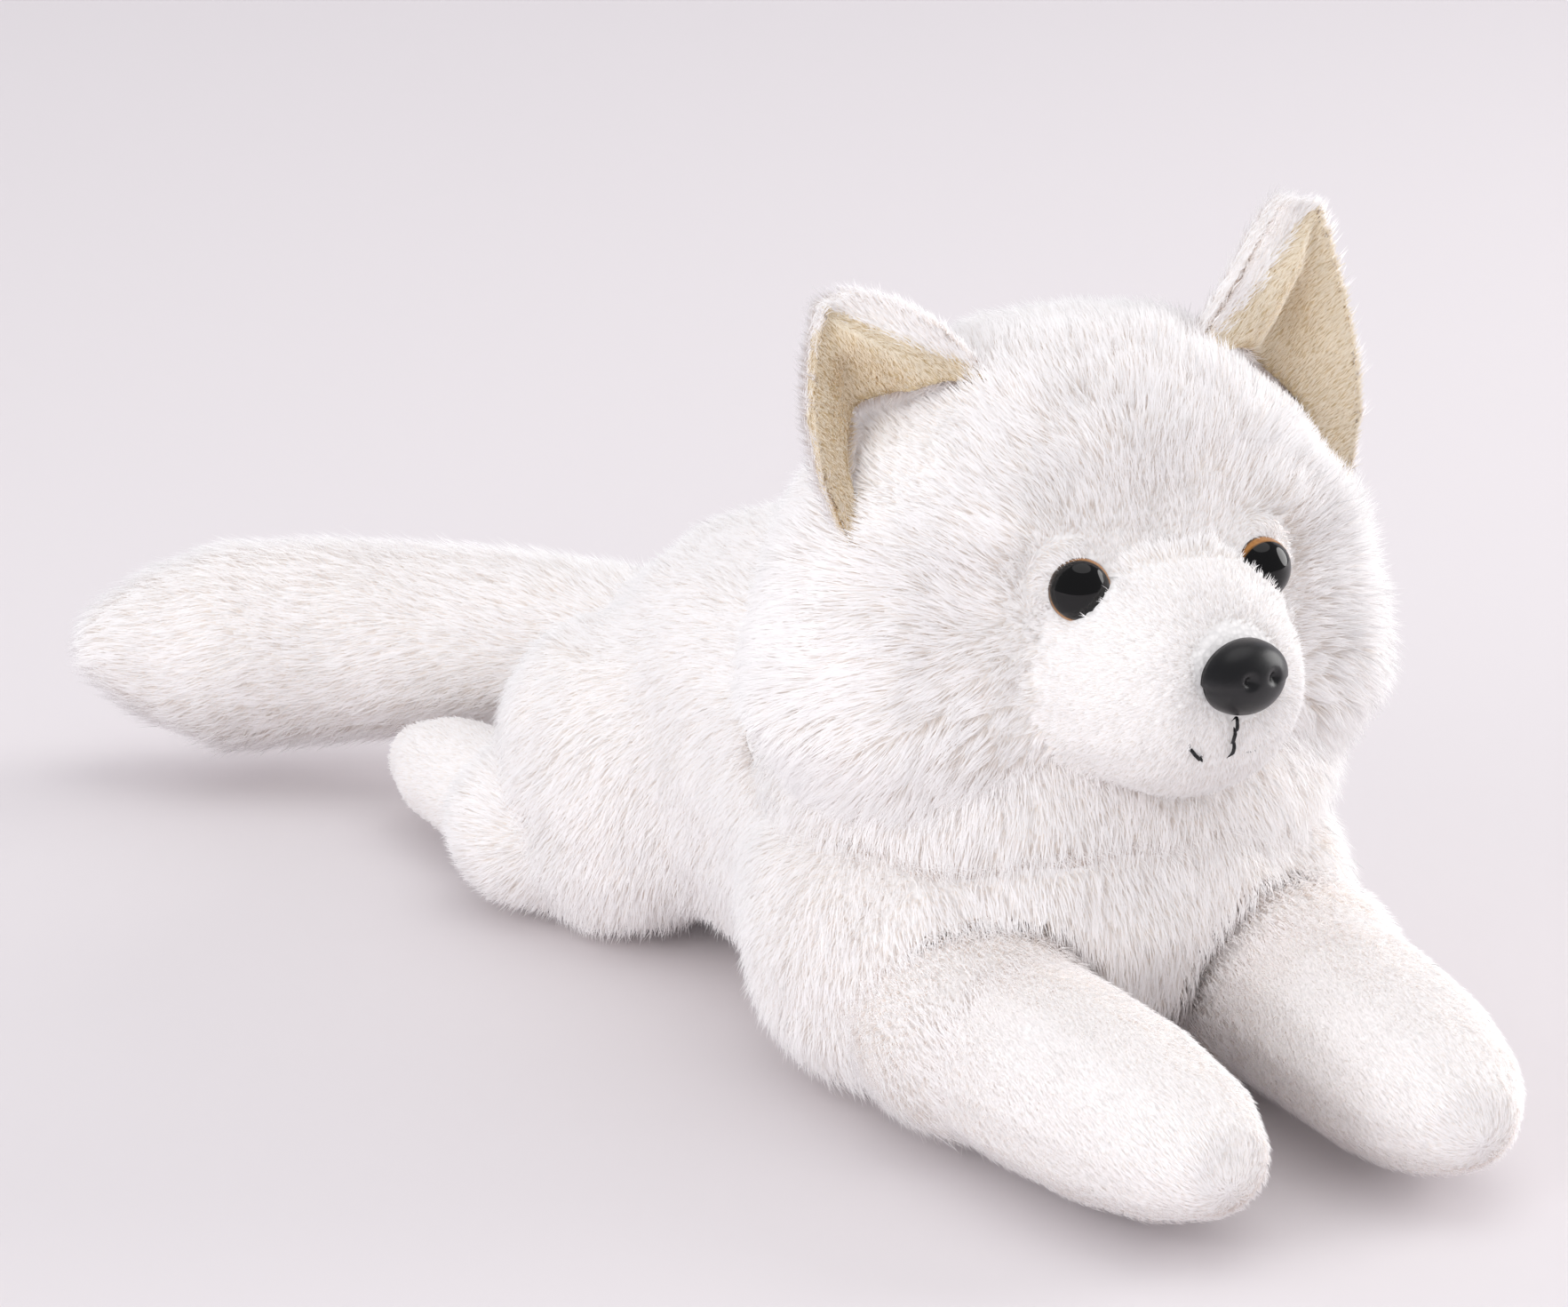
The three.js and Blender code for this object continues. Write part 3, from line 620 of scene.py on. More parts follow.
earLiningPile = {**muzzlePileSizes, "perSquareCm": 900, "length": 2.8, "width": 0.22, "lift": 0.25}


# ---- torso with its shoulders and haunches ----

torsoSkinSizes = {"closing": 1.6, "voxel": 2.2, "relaxing": 14, "inset": 3.0,
                  "lowOut": 1.8, "lowFrom": 30, "lowTo": 6}
chestFill = {"centre": (0.0, 0.0, -40.0), "radii": (50.0, 46.0, 32.0)}
torsoNodes = [name for name, node in nodes.items() if node["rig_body"] == "torso"]


def torsoFlow(points, normals):
    back = np.array([0.0, 0.75, -0.25])
    down = np.array([0.0, 0.15, -1.0])
    high = smooth(0.04, 0.085, points[:, 2])[:, None]
    chest = smooth(neck[1] + 0.01, neck[1] - 0.03, points[:, 1])[:, None]
    flow = down * (1 - high) + back * (0.5 + high)
    return flow * (1 - chest) + np.array([0.0, -0.35, -1.0]) * chest


chest = oval(neck + np.array(chestFill["centre"]) * mm, np.array(chestFill["radii"]) * mm)
torsoSkin = stuffedSkin("torsoCover", torsoNodes, torsoSkinSizes, [chest])
points = coordinatesOf(torsoSkin.data)
low = smooth(torsoSkinSizes["lowFrom"] * mm, torsoSkinSizes["lowTo"] * mm, points[:, 2])
low = low * torsoSkinSizes["lowOut"]
outward = coordinatesOf(torsoSkin.data, "normal") * np.array([1, 1, 0])
moveVertices(torsoSkin.data, points + outward * (low * mm)[:, None])
finishSkin(torsoSkin, "torso", torsoNodes)
growPile("torsoPile", torsoSkin, "torso", bodyPile, torsoFlow, 11)
print("torso sewn")


# ---- fills over a joint, so no gap opens between two stuffed pieces ----

def joinFill(name, sizes, centre, ends, pile, flow, seed, thinning=None, replaced=()):
    mesh = oval(centre, np.array(sizes["radii"]) * mm, 64)
    skin = link(f"{name}Cover", mesh)
    smoothShaded(mesh)
    mesh.materials.append(whiteGround)
    growPile(f"{name}Pile", skin, ends, pile, flow, seed, thinning=thinning)
    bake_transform(skin)
    if replaced:
        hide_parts(*replaced)


def backward(points, normals):
    return np.tile([0.0, 1.0, -0.4], (len(points), 1))


def collarFlow(points, normals):
    return unit(points - collarCentre) * 0.4 + np.array([0.0, 0.1, -1.0])


def collarSide(points, facing):
    return 1.0 * (facing[:, 2] < 0.75) * (facing[:, 2] > -0.6)


def beside(place, x, y, z):
    return tuple(place + np.array([x, y, z]) * mm)


collar = {"centre": (0.0, -1.0, -31.0), "radii": (54.0, 48.0, 34.0), "fill": 0.6,
          "bendFrom": -52, "bendTo": -18}
collarCentre = neck + np.array(collar["centre"]) * mm
collarBend = ("torso", "neck", beside(neck, 0, 0, collar["bendFrom"]),
              beside(neck, 0, 0, collar["bendTo"]))
collarPile = {**longPile, "perSquareCm": 240, "tufting": 0.1}
joinFill("neck", collar, collarCentre, collarBend, collarPile, collarFlow, 21, collarSide,
         ["neck_stuffing"])

nape = {"radii": (45.0, 21.0, 25.0), "fill": 0.6, "back": 36.0, "height": 69.0,
        "bendFrom": 10, "bendTo": -16}
napeCentre = np.array([neck[0], neck[1] + nape["back"] * mm, nape["height"] * mm])
napeBend = ("torso", "neck", beside(napeCentre, 0, nape["bendFrom"], 0),
            beside(napeCentre, 0, nape["bendTo"], 0))
joinFill("nape", nape, napeCentre, napeBend, {**bodyPile, "perSquareCm": 220}, backward, 24)
print("neck filled")


# ---- head ----

headSkinSizes = {"closing": 1.4, "voxel": 1.7, "relaxing": 10, "inset": 3.4}
headNodes = ["head_cover_left", "head_cover_right", "head_stuffing", "muzzle_cover", "muzzle_stuffing"]
muzzleLow, muzzleHigh = (np.array(corner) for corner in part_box("muzzle_cover"))
muzzleMiddle = (muzzleLow + muzzleHigh) / 2


def fittingOf(node):
    # where a shank fitting stands and which way it faces: its shank ends behind, its dome in front
    points = coordinatesOf(nodes[node].data)
    deepest = points[np.argsort(points[:, 1])[-8:]].mean(0)
    top = points[np.argmax(np.linalg.norm(points - deepest, axis=1))]
    facing = unit(top - deepest)
    depth = (points - top) @ facing
    wide = np.linalg.norm((points - top) - depth[:, None] * facing, axis=1)
    rim = depth[wide > wide.max() * 0.97].min()
    return top + facing * rim, facing, wide.max()


headShape = {
    "muzzleOut": 2.6,
    "seamIn": 2.4,
    "brow": {"out": 1.8, "from": (3, 2, 11), "radii": (11, 14, 7)},  # from the eye
    "cheek": {"out": 1.5, "from": (52, -30, -22), "radii": (22, 26, 26)},  # from the neck
    "bridge": {"out": 2.6, "from": (0, 2, 19), "radii": (17, 16, 12)},  # from the muzzle
    "clump": {"out": 2.6, "from": (34, 14, -10), "radii": (19, 24, 20)},  # from the muzzle
}
headPileLength = {"all": 1.15, "crown": 0.28, "bottom": 0.25, "seam": 0.55, "eye": 0.5, "ear": 0.5}


def swelling(points, origin, spot, side=1):
    aside, back, up = spot["from"]
    return bell(points, origin + np.array([side * aside, back, up]) * mm, np.array(spot["radii"]) * mm)


eyeFits = {name: fittingOf(f"eye_{name}") for name in sides}
noseFit = fittingOf("nose")


def onMuzzle(points):
    # 1 on the muzzle, 0 on the head, with its seam between
    half = (muzzleHigh - muzzleLow) / 2
    away = np.sqrt(((points[:, 0] - muzzleMiddle[0]) / half[0]) ** 2
                   + ((points[:, 2] - muzzleMiddle[2]) / half[2]) ** 2)
    front = points[:, 1] < neck[1] - 26 * mm
    return smooth(1.12, 1.0, away) * front


def nearEye(points, reach):
    nearest = np.full(len(points), 9.0)
    for at, facing, radius in eyeFits.values():
        nearest = np.minimum(nearest, np.linalg.norm(points - at, axis=1) / radius)
    return smooth(reach, 0.9, nearest)


def headFlow(points, normals):
    centre = np.array([neck[0], muzzleMiddle[1], muzzleMiddle[2] + 6 * mm])
    away = unit(points - centre)
    below = smooth(muzzleHigh[2], muzzleLow[2], points[:, 2])[:, None]
    flow = away + np.array([0.0, 0.25, -0.7]) * below
    for name, (at, facing, radius) in eyeFits.items():
        offset = points - at
        lash = smooth(1.9, 1.3, np.linalg.norm(offset, axis=1) / radius)
        lash *= smooth(0.0, 0.5, unit(offset) @ unit(np.array([sides[name] * 0.8, 0, 0.6])))
        flow = flow * (1 - lash[:, None]) - unit(offset) * lash[:, None]
    return flow


def muzzleFlow(points, normals):
    return unit(points - noseFit[0]) + np.array([0.0, 0.5, -0.1])


headSkin = stuffedSkin("headCover", headNodes + ["eye_left", "eye_right"], headSkinSizes)
points = coordinatesOf(headSkin.data)
normals = coordinatesOf(headSkin.data, "normal")
short = onMuzzle(points)
seam = np.exp(-1.5 * ((short - 0.5) / 0.4) ** 2) * (points[:, 1] < neck[1] - 20 * mm)
out = short * headShape["muzzleOut"] - seam * headShape["seamIn"]
for name, (at, facing, radius) in eyeFits.items():
    out += swelling(points, at, headShape["brow"], sides[name]) * headShape["brow"]["out"]
    out += swelling(points, neck, headShape["cheek"], sides[name]) * headShape["cheek"]["out"]
bridge = swelling(points, muzzleMiddle, headShape["bridge"])
raised = np.array([0, -0.35, 1.0]) * (bridge * headShape["bridge"]["out"] * mm)[:, None]
moveVertices(headSkin.data, points + normals * (out * mm)[:, None] + raised)
finishSkin(headSkin, "head", headNodes)


def headLength(points):
    crown = smooth(muzzleHigh[2] - 4 * mm, muzzleHigh[2] + 30 * mm, points[:, 2])
    bottom = smooth(neck[2] - 22 * mm, neck[2] - 40 * mm, points[:, 2])
    seamAway = np.linalg.norm((points - muzzleMiddle)[:, [0, 2]], axis=1)
    near = smooth(44 * mm, 26 * mm, seamAway) * (points[:, 1] < neck[1] - 20 * mm)
    fromEar = np.full(len(points), 9.0)
    for name in sides:
        root = pivotOf(f"ear_{name}_flex") + np.array([sides[name] * 20, -4, -14]) * mm
        fromEar = np.minimum(fromEar, np.linalg.norm(points - root, axis=1))
    ear = smooth(26 * mm, 10 * mm, fromEar)
    sizes = headPileLength
    length = sizes["all"] - sizes["crown"] * crown + sizes["bottom"] * bottom
    length = length * (1 - sizes["seam"] * near)
    return length * (1 - sizes["eye"] * nearEye(points, 2.2)) * (1 - sizes["ear"] * ear)


def headOnly(points, facing):
    away = 1 - smooth(0.3, 0.9, nearEye(points, 1.08))
    return (1 - smooth(0.2, 0.6, onMuzzle(points))) * away


def muzzleOnly(points, facing):
    at, outward, radius = noseFit
    nose = np.linalg.norm(points - at, axis=1) / radius
    return smooth(0.3, 0.8, onMuzzle(points)) * smooth(0.72, 0.9, nose) * (1 - nearEye(points, 1.05))


def cheekClumps(points):
    # the brushed pile gathers in soft clumps beside the muzzle
    clump = headShape["clump"]
    return clump["out"] * sum(swelling(points, muzzleMiddle, clump, side) for side in sides.values())


growPile("headPile", headSkin, "head", longPile, headFlow, 31,
         lengthAt=headLength, thinning=headOnly, clumping=cheekClumps)
growPile("muzzlePile", headSkin, "head", muzzlePileSizes, muzzleFlow, 41,
         thinning=muzzleOnly)
print("head sewn")


# ---- front legs and hind paws ----

legSkinSizes = {"closing": 1.2, "voxel": 1.6, "relaxing": 8, "inset": 1.8}
forearmLength = {"paw": 0.95, "elbowMore": 0.9, "over": 45}


def legFlow(points, normals):
    return np.tile([0.0, -1.0, -0.35], (len(points), 1))


def hindFlow(points, normals):
    return np.tile([0.0, 1.0, -0.3], (len(points), 1))


for number, name in enumerate(sides):
    parts = [f"front_leg_cover_{name}", f"front_leg_stuffing_{name}"]
    body = f"front_leg_{name}"
    leg = stuffedSkin(f"forearmCover_{name}", parts, legSkinSizes)
    low, high = (np.array(c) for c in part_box(parts[0]))
    elbowAt = high[1]

    def longerByElbow(points):
        near = smooth(elbowAt - forearmLength["over"] * mm, elbowAt, points[:, 1])
        return forearmLength["paw"] + forearmLength["elbowMore"] * near

    finishSkin(leg, body, parts)
    growPile(f"forearmPile_{name}", leg, body, pawPile, legFlow, 51 + number,
             lengthAt=longerByElbow)
    parts = [f"hind_paw_cover_{name}", f"hind_paw_stuffing_{name}"]
    body = f"hind_leg_{name}"
    paw = stuffedSkin(f"hindPawCover_{name}", parts, legSkinSizes)
    finishSkin(paw, body, parts)
    growPile(f"hindPawPile_{name}", paw, body, pawPile, hindFlow, 61 + number)

elbowFill = {"centre": (0.0, 3.0, 1.0), "radii": (21.0, 30.0, 20.0), "fill": 0.7,
             "bendFrom": 16, "bendTo": -12}
hockFill = {"ahead": 6.0, "above": 2.0, "radii": (20.5, 22.0, 17.0), "fill": 0.7, "bend": 10}
elbowPile = {**bodyPile, "length": 6.0, "perSquareCm": 320}


def notItsEnds(points, facing):
    return 1.0 * (np.abs(facing[:, 1]) < 0.85)


for number, name in enumerate(sides):
    elbow = pivotOf(f"front_leg_{name}_splay")
    bend = ("torso", f"front_leg_{name}", beside(elbow, 0, elbowFill["bendFrom"], 0),
            beside(elbow, 0, elbowFill["bendTo"], 0))
    joinFill(f"elbow_{name}", elbowFill, elbow + np.array(elbowFill["centre"]) * mm, bend, elbowPile,
             legFlow, 67 + number, notItsEnds)
    low, high = (np.array(c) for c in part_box(f"hind_paw_cover_{name}"))
    hock = (low + high) / 2 + np.array([0, 0, hockFill["above"]]) * mm
    hock[1] = low[1] - hockFill["ahead"] * mm
    bend = ("torso", f"hind_leg_{name}", beside(hock, 0, -hockFill["bend"], 0),
            beside(hock, 0, hockFill["bend"], 0))
    joinFill(f"hock_{name}", hockFill, hock, bend, elbowPile, hindFlow, 75 + number)
print("legs sewn")


# ---- tail ----

tailSkinSizes = {"closing": 1.4, "voxel": 2.0, "relaxing": 12, "inset": 3.4}
tailCurl = {"from": 30, "to": 85}  # behind the tail's root, where it turns aside


def tailFlow(points, normals):
    begin, end = tailRoot[1] + tailCurl["from"] * mm, tailRoot[1] + tailCurl["to"] * mm
    bendAt = smooth(begin, end, points[:, 1])[:, None]
    return np.array([0.0, 1.0, -0.1]) * (1 - bendAt) + np.array([-0.85, 0.5, -0.1]) * bendAt


tailParts = ["tail_cover", "tail_stuffing"]
tailSkin = stuffedSkin("tailCover", tailParts, tailSkinSizes)
finishSkin(tailSkin, "tail", tailParts)
tailPile = {**bodyPile, "length": 8.0, "perSquareCm": 220}
growPile("tailPile", tailSkin, "tail", tailPile, tailFlow, 71)

rootSize = {"radii": (17.5, 31.0, 16.5), "back": 5.0}
rootMesh = oval(tailRoot + np.array([0, rootSize["back"], 0]) * mm, np.array(rootSize["radii"]) * mm, 32)
rootSkin = link("tailRootCover", rootMesh)
smoothShaded(rootMesh)
rootMesh.materials.append(whiteGround)
rootPile = {**bodyPile, "length": 8.0}
growPile("tailRootPile", rootSkin, "tail_root", rootPile, tailFlow, 81,
         thinning=lambda p, n: 1.0 * (np.abs(n[:, 1]) < 0.8))
finishSkin(rootSkin, "tail_root", ["tail_root_stuffing"])
print("tail sewn")


# ---- ears ----

earSizes = {
    "closing": 0.9, "voxel": 1.1, "relaxing": 5, "inset": 0.5,
    "foldOut": 5.0, "foldAt": 0.22, "foldWide": 0.16,
    "hollowIn": 5.5, "hollowAt": 0.55, "hollowWide": 0.18,
    "lowerRoot": 8.0, "shorter": 3.5, "forward": 3.0, "rootIn": 7.0,
    "whiteBand": 0.05,  # share of the ear's width, white along its inner edge
}


def earAxes(name):
    joint = joints[f"ear_{name}_flex"]
    inner = np.array(joint["pos_m"])
    across = unit(np.array(joint["axis"])) * sides[name]
    upward = np.array([-across[2], 0, across[0]]) * sides[name]
    return inner, across, upward


def turnedBack(facing, band):
    # below 0 on the ear's front
    return facing + smooth(0.5, 0.8, band) * -0.45 + 0.35


def sewEar(number, name):
    parts = [f"ear_back_{name}", f"ear_lining_{name}"]
    body = f"ear_{name}"
    ear = stuffedSkin(f"earCover_{name}", parts, earSizes)
    mesh = ear.data
    inner, across, upward = earAxes(name)
    points = coordinatesOf(mesh)
    span = ((points - inner) @ across).max()
    tall = ((points - inner) @ upward).max()
    aside = ((points - inner) @ across) / span
    high = ((points - inner) @ upward) / tall
    tipAside = aside[np.argmax(high)]

    def bandOf(places):
        # about 0 at the inner edge and 1 at the outer edge, at every height
        offset = places - inner
        fromEdge = offset @ across / span - tipAside * offset @ upward / tall
        return fromEdge / np.maximum(1.02 - offset @ upward / tall, 0.08)

    def lining(places, facing):
        band = bandOf(places)
        front = smooth(0.08, -0.12, turnedBack(facing[:, 1], band))
        return front * smooth(-0.05, 0.05, band - earSizes["whiteBand"])

    def back(places, facing):
        return 1 - lining(places, facing)

    def earFlow(places, outward):
        return np.tile(upward, (len(places), 1)) + np.array([0, -0.25, 0])

    band = bandOf(points)
    fold = np.exp(-((band - earSizes["foldAt"]) / earSizes["foldWide"]) ** 2) * smooth(1.0, 0.6, high)
    hollow = np.exp(-((band - earSizes["hollowAt"]) / earSizes["hollowWide"]) ** 2)
    hollow = hollow * smooth(0.75, 0.35, high)
    points[:, 1] += (-fold * earSizes["foldOut"] + hollow * earSizes["hollowIn"]
                     - smooth(1.0, 0.3, high) * earSizes["forward"]) * mm
    lowered = smooth(0.5, 1.0, aside) * smooth(0.65, 0.0, high) * earSizes["lowerRoot"] * mm
    points += np.array([sides[name] * -0.1, -0.5, -0.95]) * lowered[:, None]
    into = smooth(0.35, 0.0, high) * earSizes["rootIn"] + smooth(0.1, 1.0, high) * earSizes["shorter"]
    points -= upward * (into * mm)[:, None]
    moveVertices(mesh, points)
    mesh.materials.append(creamGround)
    band = bandOf(np.array([p.center for p in mesh.polygons]))
    facing = np.array([p.normal.y for p in mesh.polygons])
    lined = (turnedBack(facing, band) < 0) & (band > earSizes["whiteBand"])
    mesh.polygons.foreach_set("material_index", lined.astype(np.int32))
    finishSkin(ear, body, parts)
    growPile(f"earBackPile_{name}", ear, body, earBackPile, earFlow, 91 + number,
             thinning=back)
    growPile(f"earLiningPile_{name}", ear, body, earLiningPile, earFlow, 95 + number,
             creamPile, thinning=lining)


for number, name in enumerate(sides):
    sewEar(number, name)
print("ears sewn")


# ---- eyes ----

eyeSizes = {"sink": 2.0, "rise": 5.4, "wide": 0.9, "pupil": 0.92,
            "pupilAside": 0.08, "pupilUp": {"left": -0.03, "right": 0.04},
            "iris": "#8a5426", "irisLight": "#b5813f", "rim": "#2a190c", "black": "#030304"}


domeBack = 0.3  # how far the middle of a dome's back stands behind its edge


def castAcrylic():
    # Cast acrylic over paint, as one opaque polished surface: a black pupil in an amber ring.
    material, tree = newMaterial("castAcrylicOverPaint")
    fromPupil = addNode(tree, "ShaderNodeAttribute", {"attribute_name": "fromPupil"})
    fromMiddle = addNode(tree, "ShaderNodeAttribute", {"attribute_name": "fromMiddle"})
    place = addNode(tree, "ShaderNodeTexCoord")
    streaks = addNode(tree, "ShaderNodeTexNoise", inputs={
        "Vector": place.outputs["Object"], "Scale": 1 / (0.6 * mm), "Detail": 3.0,
    })
    amber = addNode(tree, "ShaderNodeMix", {"data_type": "RGBA"}, {
        0: streaks.outputs["Fac"],
        6: linearColour(eyeSizes["iris"]),
        7: linearColour(eyeSizes["irisLight"]),
    })
    pupil = addNode(tree, "ShaderNodeMapRange", inputs={
        "Value": fromPupil.outputs["Fac"],
        "From Min": eyeSizes["pupil"] - 0.02, "From Max": eyeSizes["pupil"] + 0.02,
    })
    inner = addNode(tree, "ShaderNodeMix", {"data_type": "RGBA"}, {
        0: pupil.outputs[0], 6: linearColour(eyeSizes["black"]), 7: amber.outputs[2],
    })
    rim = addNode(tree, "ShaderNodeMapRange", inputs={
        "Value": fromMiddle.outputs["Fac"], "From Min": 0.985, "From Max": 1.0,
    })
    outer = addNode(tree, "ShaderNodeMix", {"data_type": "RGBA"}, {
        0: rim.outputs[0], 6: inner.outputs[2], 7: linearColour(eyeSizes["rim"]),
    })
    acrylic = addNode(tree, "ShaderNodeBsdfPrincipled", inputs={
        "Base Color": outer.outputs[2],
        "Roughness": 0.06,
        "IOR": 1.49,
        "Specular IOR Level": 0.45,
    })
    addNode(tree, "ShaderNodeOutputMaterial", inputs={"Surface": acrylic.outputs[0]})
    return material


def dome(name, fit, widths, rise, sink, rings, around, outline=None, power=1.0, pupil=(0.0, 0.0)):
    # A closed dome on a nearly flat back, with each point's distance from its middle and the pupil's.
    at, facing, radius = fit
    side = unit(np.cross(facing, [0, 0, 1]))
    up = np.cross(side, facing)
    points, flat, faces = [], [], []
    base = at - facing * sink * mm
    wide, high = widths
    for ring in range(1, rings + 1):
        angle = ring / rings * math.pi / 2
        for step in range(around):
            turn = 2 * math.pi * step / around
            scale = outline(turn) if outline else 1.0
            spot = (side * math.cos(turn) * wide + up * math.sin(turn) * high) * math.sin(angle) * scale
            points.append(base + spot + facing * rise * mm * math.cos(angle) ** power)
            flat.append((math.cos(turn) * math.sin(angle), math.sin(turn) * math.sin(angle)))
    top = len(points)
    points.append(base + facing * rise * mm)
    flat.append((0.0, 0.0))
    low = len(points)
    points.append(base - facing * domeBack * mm)
    flat.append((1.0, 0.0))
    for step in range(around):
        following = (step + 1) % around
        faces.append((top, step, following))
        for ring in range(rings - 1):
            a, b = ring * around, (ring + 1) * around
            faces.append((a + step, b + step, b + following, a + following))
        edge = (rings - 1) * around
        faces.append((edge + step, low, edge + following))
    mesh = meshFrom(name, points, faces)
    flat = np.array(flat)
    for label, centre in (("fromMiddle", (0.0, 0.0)), ("fromPupil", pupil)):
        store = mesh.attributes.new(label, "FLOAT", "POINT")
        store.data.foreach_set("value", np.linalg.norm(flat - centre, axis=1).astype(np.float32))
    return link(name, mesh)


eyeFinish = castAcrylic()
for name, fit in eyeFits.items():
    wide = fit[2] * eyeSizes["wide"]
    eye = dome(f"eyeDome_{name}", fit, (wide, wide), eyeSizes["rise"], eyeSizes["sink"], 32, 64,
               pupil=(eyeSizes["pupilAside"], eyeSizes["pupilUp"][name]))
    eye.data.materials.append(eyeFinish)
    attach(eye, "head")
    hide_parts(f"eye_{name}", f"eye_washer_{name}")
print("eyes set")


# ---- nose ----

noseSizes = {"sink": 1.0, "rise": 7.2, "lower": 1.6, "black": "#111114", "nostrilDeep": 1.3,
             "nostrilWide": 1.6, "nostrilApart": 2.8, "nostrilBelow": -0.9, "flat": 0.75,
             "tall": 0.75}  # share of its width


def noseMoulding():
    # Injection-moulded ABS: black, with the satin of a lightly etched mould.
    material, tree = newMaterial("satinMouldedAbs")
    place = addNode(tree, "ShaderNodeTexCoord")
    etch = addNode(tree, "ShaderNodeTexNoise", inputs={
        "Vector": place.outputs["Object"], "Scale": 1 / (0.35 * mm), "Detail": 2.0,
    })
    rough = addNode(tree, "ShaderNodeMapRange", inputs={
        "Value": etch.outputs["Fac"], "To Min": 0.28, "To Max": 0.42,
    })
    bump = addNode(tree, "ShaderNodeBump", inputs={
        "Strength": 0.25, "Distance": 0.00005, "Height": etch.outputs["Fac"],
    })
    plastic = addNode(tree, "ShaderNodeBsdfPrincipled", inputs={
        "Base Color": linearColour(noseSizes["black"]),
        "Roughness": rough.outputs[0],
        "IOR": 1.53,
        "Normal": bump.outputs[0],
    })
    addNode(tree, "ShaderNodeOutputMaterial", inputs={"Surface": plastic.outputs[0]})
    return material


def noseOutline(turn):
    # fuller at the top corners than below
    return 1.0 + 0.06 * math.sin(turn) - 0.05 * math.cos(2 * turn) * (math.sin(turn) < 0)


noseLow, noseHigh = (np.array(c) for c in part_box("nose"))
noseWide = (noseHigh[0] - noseLow[0]) / 2
noseTall = noseWide * noseSizes["tall"]
noseFit = (noseFit[0] - np.array([0, 0, noseSizes["lower"]]) * mm, *noseFit[1:])
nose = dome("noseMoulding", noseFit, (noseWide, noseTall), noseSizes["rise"], noseSizes["sink"],
            26, 64, noseOutline, noseSizes["flat"])
points = coordinatesOf(nose.data)
noseSide = unit(np.cross(noseFit[1], [0, 0, 1]))
noseUp = np.cross(noseSide, noseFit[1])
local = points - noseFit[0]
for side in sides.values():
    x = local @ noseSide - side * noseSizes["nostrilApart"] * mm
    z = local @ noseUp + noseSizes["nostrilBelow"] * mm
    dent = np.exp(-(x ** 2 + z ** 2) / (noseSizes["nostrilWide"] * mm) ** 2 * 2) * (local @ noseFit[1] > 0)
    points -= noseFit[1] * (dent * noseSizes["nostrilDeep"] * mm)[:, None]
moveVertices(nose.data, points)
nose.data.materials.append(noseMoulding())
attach(nose, "head")
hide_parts("nose", "nose_washer")
print("nose set")


# ---- embroidered mouth ----

def threadFinish():
    # Spun polyester embroidery thread: black, with the fine oblique lines of its twist as bumps, and a
    # painted sheen on their ridges.
    material, tree = newMaterial("spunPolyesterThread")
    place = addNode(tree, "ShaderNodeTexCoord")
    twist = addNode(tree, "ShaderNodeTexWave", {"bands_direction": "DIAGONAL"}, {
        "Vector": place.outputs["Object"], "Scale": 1 / (2.5 * mm), "Distortion": 1.0,
    })
    # painted sheen: the twist's ridges are painted lighter and its grooves darker
    colour = addNode(tree, "ShaderNodeMix", {"data_type": "RGBA"}, {
        0: twist.outputs["Fac"], 6: linearColour("#0a0a0c"), 7: linearColour("#232327"),
    })
    bump = addNode(tree, "ShaderNodeBump", inputs={
        "Strength": 0.6, "Distance": 0.0001, "Height": twist.outputs["Fac"],
    })
    thread = addNode(tree, "ShaderNodeBsdfPrincipled", inputs={
        "Base Color": colour.outputs[2], "Roughness": 0.6, "Normal": bump.outputs[0],
    })
    addNode(tree, "ShaderNodeOutputMaterial", inputs={"Surface": thread.outputs[0]})
    return material


mouthStitches = {
    "radius": 0.36, "stitch": 2.6, "overlap": 0.5, "weave": 0.25, "dip": 0.9, "step": 0.2,
    "sidesRound": 8, "rings": 9,
}
# how deep each stitch lies along its path
centreSunk = np.array([0.7, 0.2, 0.2, 0.5, 0.3, 0.6])
rightSunk = np.array([5.0, 2.5, 0.8, 0.5, 2.2, 4.5, 5.0, 5.0])
leftSunk = 2.6


def centreline(node, axis, count):
    # the middle of a stitch's solid, as points along it
    points = coordinatesOf(nodes[node].data)
    edges = np.linspace(points[:, axis].min(), points[:, axis].max() + 1e-9, count + 1)
    held = [points[(points[:, axis] >= a) & (points[:, axis] < b)] for a, b in zip(edges, edges[1:])]
    return np.array([group.mean(0) for group in held if len(group)])


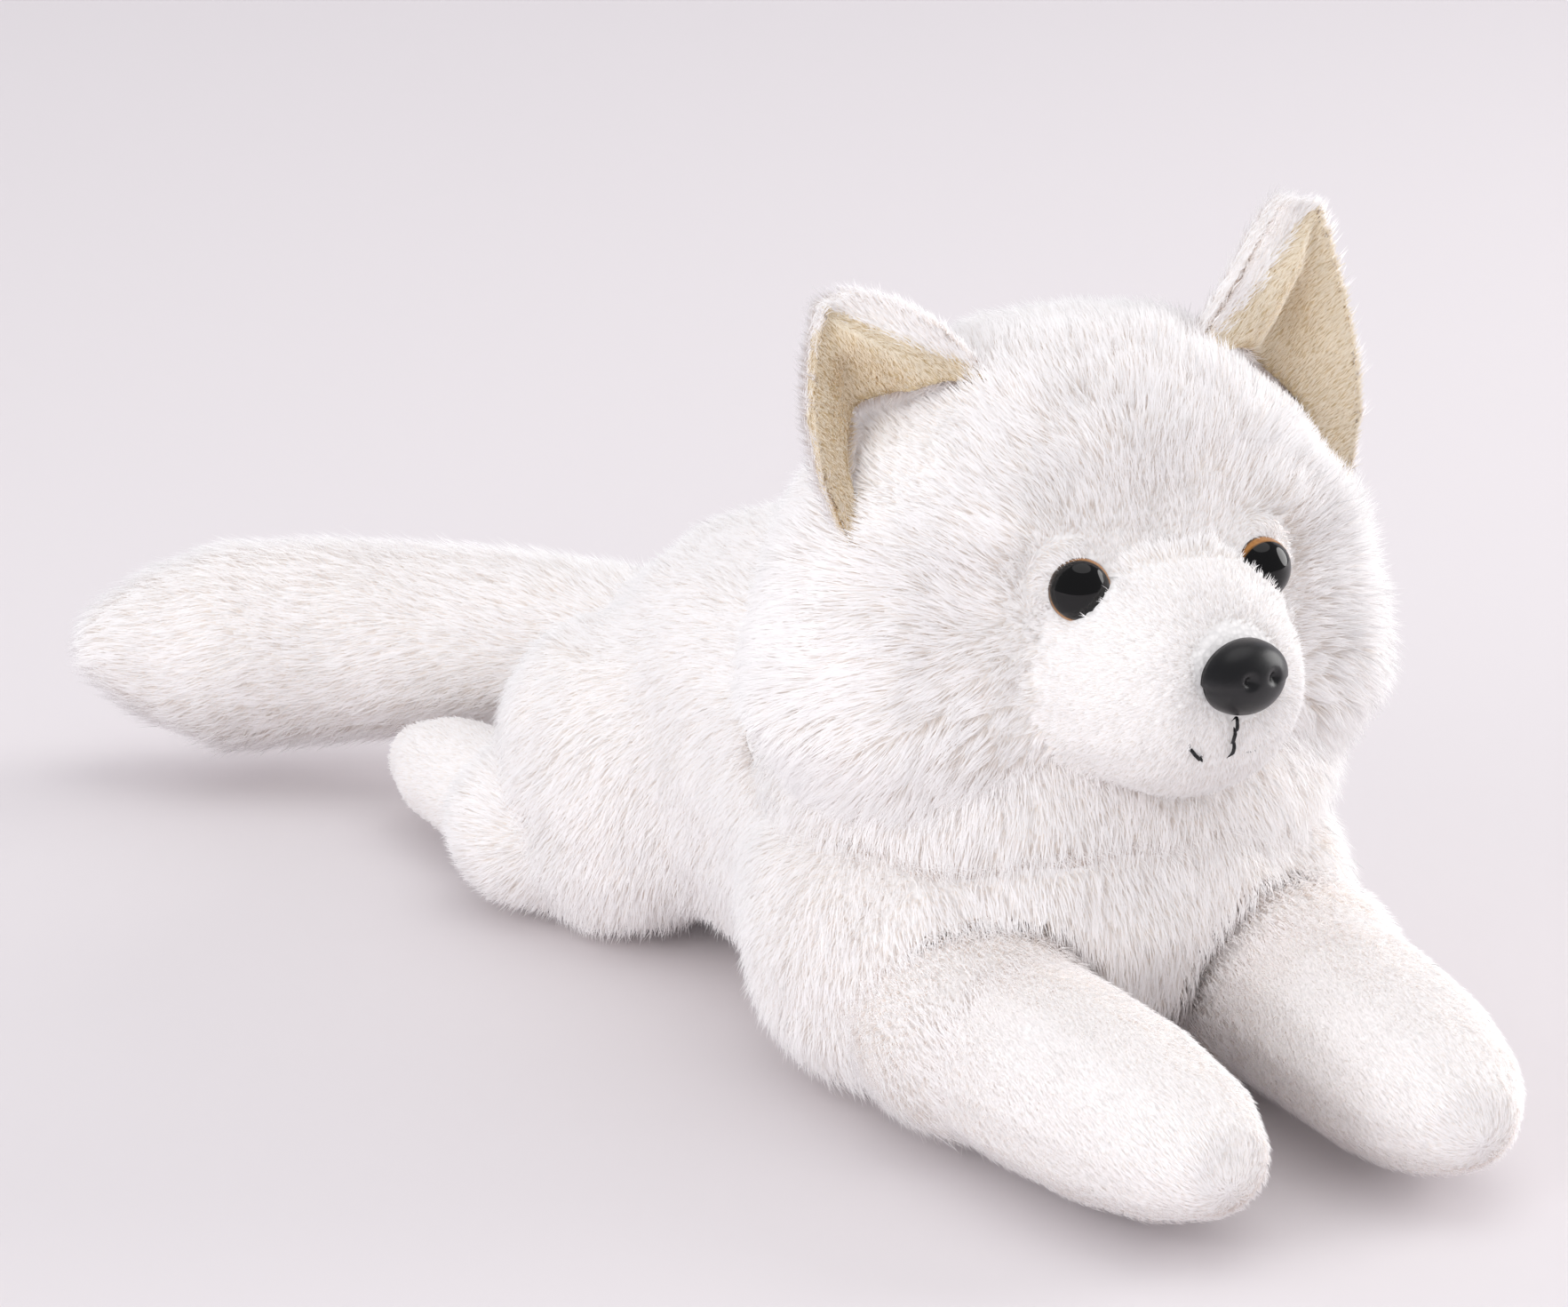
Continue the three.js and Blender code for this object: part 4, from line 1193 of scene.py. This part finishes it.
def threadRun(name, path, sunk, replaced):
    # short stitches end over end, each dipping into the cloth at both ends
    lengths = np.concatenate([[0], np.cumsum(np.linalg.norm(np.diff(path, axis=0), axis=1))])
    step = mouthStitches["step"] * mm

    def at(distance):
        return np.array([np.interp(distance, lengths, path[:, k]) for k in range(3)])

    count = max(1, round(lengths[-1] / (mouthStitches["stitch"] * mm)))
    points, faces = [], []
    sidesRound, rings = mouthStitches["sidesRound"], mouthStitches["rings"]
    for number in range(count):
        begin = lengths[-1] * number / count - mouthStitches["overlap"] * mm
        end = lengths[-1] * (number + 1) / count + mouthStitches["overlap"] * mm
        first = len(points)
        offset = (number % 2 - 0.5) * mouthStitches["weave"] * mm
        for ring in range(rings):
            t = ring / (rings - 1)
            here = begin + (end - begin) * t
            ahead = unit(at(here + step) - at(here - step) + 1e-9)
            side = unit(np.cross(ahead, [0, -1, 0.0]))
            out = np.cross(side, ahead)
            out = out if out[1] < 0 else -out
            deep = np.interp(here, lengths, sunk) * mm + mouthStitches["dip"] * mm * (2 * t - 1) ** 4
            middle = at(here) + side * offset - out * deep
            thick = mouthStitches["radius"] * mm * math.sqrt(max(0.02, 1 - (2 * t - 1) ** 6))
            for corner in range(sidesRound):
                angle = 2 * math.pi * corner / sidesRound
                points.append(middle + (side * math.cos(angle) + out * math.sin(angle)) * thick)
        for ring in range(rings - 1):
            for corner in range(sidesRound):
                following = (corner + 1) % sidesRound
                a, b = first + ring * sidesRound, first + (ring + 1) * sidesRound
                faces.append((a + corner, a + following, b + following, b + corner))
        faces.append(tuple(first + corner for corner in reversed(range(sidesRound))))
        faces.append(tuple(first + (rings - 1) * sidesRound + corner for corner in range(sidesRound)))
    run = link(name, meshFrom(name, points, faces))
    run.data.materials.append(threadBlack)
    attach(run, "head")
    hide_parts(replaced)


threadBlack = threadFinish()
down = centreline("mouth_stitch_center", 2, 6)[::-1]
threadRun("mouthThread_center", down, centreSunk, "mouth_stitch_center")
rightCorner = centreline("mouth_stitch_right", 0, 8)
threadRun("mouthThread_right", rightCorner, rightSunk[:len(rightCorner)], "mouth_stitch_right")
leftCorner = centreline("mouth_stitch_left", 0, 8)
threadRun("mouthThread_left", leftCorner, np.full(len(leftCorner), leftSunk), "mouth_stitch_left")
print("mouth embroidered")
